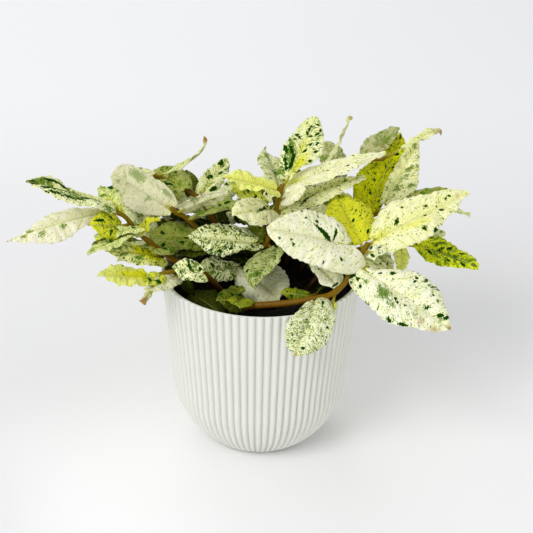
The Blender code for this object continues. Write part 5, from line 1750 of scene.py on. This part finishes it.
def build_pot(material):
    """Ribbed pot with a scalloped rounded rim, a smooth inner wall and a rounded foot."""
    foot = outer_radius(0.0)
    rows = [(POT_CENTRE, 0.0, 0.0, 0), (foot - FOOT_FLAT, 0.0, 0.0, 0),
            (foot - FOOT_ROUND, FOOT_RISE, 1.0, 0)]
    for i in range(POT_ROWS + 1):
        share = (i / POT_ROWS) ** POT_ROWS_CROWD
        height = POT_ROWS_FROM + (POT_HEIGHT - RIM_ROUND - POT_ROWS_FROM) * share
        rows.append((outer_radius(height), height, 1.0, 0))
    top = outer_radius(POT_HEIGHT)
    for i in range(1, RIM_STEPS + 1):
        angle = 0.5 * math.pi * i / RIM_STEPS
        rows.append((top - RIM_ROUND * (1 - math.cos(angle)),
                     POT_HEIGHT - RIM_ROUND * (1 - math.sin(angle)),
                     1.0 - RIM_GROOVE_LOSS * i / RIM_STEPS, 0))
    for i in range(RIM_STEPS + 1):
        angle = 0.5 * math.pi * i / RIM_STEPS
        rows.append((top - WALL + RIM_ROUND * (1 - math.sin(angle)),
                     POT_HEIGHT - RIM_ROUND * (1 - math.cos(angle)), 0.0, i / RIM_STEPS))
    rows += [(outer_radius(height) - WALL, height, 0.0, 1) for height in POT_INNER_HEIGHTS]
    rows.append((outer_radius(FLOOR_THICKNESS) - WALL - FLOOR_ROUND, FLOOR_THICKNESS + FLOOR_ROUND, 0.0, 1))
    rows.append((POT_CENTRE, FLOOR_THICKNESS, 0.0, 1))
    pot = revolved(rows, RIBS * POT_SIDES_PER_RIB, material)
    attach(pot, BODY)
    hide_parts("pot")


def soil_height(x, y):
    """Height of the soil's lumpy top, in millimetres."""
    a, b, c, d = LUMP_TURNS
    lumps = math.sin(a * x + LUMP_PHASE) * math.cos(b * y) + SMALL_LUMPS * math.sin(c * y - d * x)
    grain = noise.fractal(Vector((x, y, 0)) * SOIL_GRAIN_TURNS, *SOIL_GRAIN_FORM)
    return SOIL_TOP + SOIL_RELIEF * lumps / (1 + SMALL_LUMPS) + SOIL_GRAIN * grain


def soil_shell(edge):
    """Points and faces of the soil below its crumbs."""
    rows = [(edge * math.sqrt((i + 1) / SOIL_RINGS), None) for i in range(SOIL_RINGS)]
    rows += [(outer_radius(height) - WALL - GAP - SOIL_SIDE_ROOM, height) for height in SOIL_SIDE_HEIGHTS]
    points = []
    for radius, height in rows:
        for k in range(SOIL_SIDES):
            angle = math.tau * k / SOIL_SIDES
            x = radius * math.cos(angle)
            y = radius * math.sin(angle)
            points.append((x * MM, y * MM, (soil_height(x, y) if height is None else height) * MM))
    return points, turned_faces(len(rows), SOIL_SIDES)


def add_crumbs(points, faces, edge):
    """Loose crumbs on the soil, each a small uneven lump with a spin of its own."""
    draw = random.Random(CRUMB_SEED)
    corners = [Vector(corner).normalized() for corner in CRUMB_CORNERS]
    for _ in range(CRUMBS):
        radius = edge * CRUMB_REACH * math.sqrt(draw.random())
        angle = draw.uniform(0, math.tau)
        x = radius * math.cos(angle)
        y = radius * math.sin(angle)
        size = draw.uniform(*CRUMB_SIZES) * draw.uniform(*CRUMB_SHRINK)
        spin = Matrix.Rotation(draw.uniform(0, 6), 3, Vector((draw.uniform(-1, 1), draw.uniform(-1, 1), 1)))
        stretch = draw.uniform(*CRUMB_STRETCH)
        first = len(points)
        middle = Vector((x, y, soil_height(x, y) + CRUMB_LIFT * size))
        for corner in corners:
            p = Vector((corner.x * stretch, corner.y, corner.z * CRUMB_FLATNESS))
            p = p * size * draw.uniform(*CRUMB_UNEVEN)
            points.append(tuple((middle + spin @ p) * MM))
        faces.extend(tuple(first + i for i in face) for face in CRUMB_FACES)


def build_soil(material):
    """Soil with a crumbly top."""
    edge = outer_radius(SOIL_TOP) - WALL - GAP
    points, faces = soil_shell(edge)
    add_crumbs(points, faces, edge)
    mesh = bpy.data.meshes.new("potting_soil_fine")
    mesh.from_pydata(points, [], faces)
    shells = bmesh.new()
    shells.from_mesh(mesh)
    bmesh.ops.recalc_face_normals(shells, faces=shells.faces)
    shells.to_mesh(mesh)
    shells.free()
    mesh.shade_smooth()
    mesh.set_sharp_from_angle(angle=math.radians(SOIL_SHARP_ANGLE))
    mesh.materials.append(material)
    soil = new_object("potting_soil_fine", mesh)
    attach(soil, BODY)
    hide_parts("potting_soil")


def build_stage():
    """Pale floor with painted shade to the left and behind the pot, brighter again further back, and a
    painted light ahead.
    """
    n = Nodes("floor")
    place = n.add("TexCoord", "Object", {})
    x, y, _ = n.split(place)
    near = n.step(y, 0.04, 0.19)
    far = n.step(y, 0.22, 0.75)
    # Painted shade towards the left, deepest at the left front.
    left = n.mix(n.step(y, -0.14, -0.02), FLOOR_SHADE_LEFT_FRONT, FLOOR_SHADE_LEFT)
    front = n.mix(n.step(x, -0.20, 0.0), left, FLOOR_RIGHT)
    # Painted shadow a little behind the pot.
    colour = n.mix(near, front, FLOOR_SHADOW_BEHIND)
    colour = n.mix(far, colour, FLOOR_FAR)
    # Painted pool of light just ahead of the pot.
    ahead = n.join(n.times(x, 0.8), n.math("ADD", y, 0.10), 0.0)
    ahead = n.add("VectorMath", "Value", {0: ahead}, operation="LENGTH")
    colour = n.mix(n.step(ahead, 0.06, 0.22, 1.0, 0.0), colour, FLOOR_LIGHT_AHEAD)
    material = n.finish(colour, 0.6, Specular_IOR_Level=0.1)
    half = FLOOR_SIZE / 2
    mesh = bpy.data.meshes.new("floor")
    mesh.from_pydata([(-half, -half, 0), (half, -half, 0), (half, half, 0), (-half, half, 0)], [],
                     [(0, 1, 2, 3)])
    mesh.materials.append(material)
    floor = new_object("floor", mesh)


def add_light(name, place, size, power):
    """Round soft light that aims at the plant."""
    data = bpy.data.lights.new(name, "AREA")
    data.shape = "DISK"
    data.size = size
    data.energy = power
    light = new_object(name, data)
    light.location = place
    light.rotation_euler = (AIM - Vector(place)).to_track_quat("-Z", "Y").to_euler()


def build_lights():
    """Soft studio light, mostly from the upper left in front."""
    for name, (place, size, power) in LIGHTS.items():
        add_light(name, place, size, power)
    world = bpy.data.worlds.new("studio")
    world.use_nodes = True
    background = world.node_tree.nodes["Background"]
    background.inputs["Color"].default_value = (*WORLD_COLOUR, 1.0)
    background.inputs["Strength"].default_value = WORLD_STRENGTH
    bpy.context.scene.world = world
    bpy.context.scene.view_settings.view_transform = "Standard"
    bpy.context.scene.view_settings.look = "Medium High Contrast"


def build_camera():
    """Camera at the photograph's viewing angle."""
    elevation = math.radians(CAMERA_ELEVATION)
    pitch = math.radians(CAMERA_PITCH)
    yaw = math.radians(CAMERA_YAW)
    roll = math.radians(CAMERA_ROLL)
    place = Vector((0.0, -CAMERA_DISTANCE * math.cos(elevation),
                    CAMERA_TARGET_HEIGHT + CAMERA_DISTANCE * math.sin(elevation)))
    ahead = Vector((math.sin(yaw) * math.cos(pitch), math.cos(yaw) * math.cos(pitch), -math.sin(pitch)))
    right = ahead.cross(Vector((0, 0, 1))).normalized()
    upright = right.cross(ahead)
    right, upright = (right * math.cos(roll) + upright * math.sin(roll),
                      upright * math.cos(roll) - right * math.sin(roll))
    data = bpy.data.cameras.new("camera")
    data.sensor_width = SENSOR_WIDTH
    data.lens = LENS
    data.clip_start = CLIP_START
    data.clip_end = CLIP_END
    camera = new_object("camera", data)
    turn = Matrix((right, upright, -ahead)).transposed().to_4x4()
    camera.matrix_world = Matrix.Translation(place * MM) @ turn
    bpy.context.scene.camera = camera


build_camera()
build_lights()
build_stage()
build_pot(pot_material())
build_soil(soil_material())
leaf_and_stem = [leaf_material(), stem_material()]
stems = SHOWN_STEMS + hidden_stems()
inner = inner_leaves(stems)
paths, poses = lay_out(stems, inner)
for number, stem in enumerate(stems):
    build_stem(stem, inner, paths[stem.name], poses, leaf_and_stem, number)
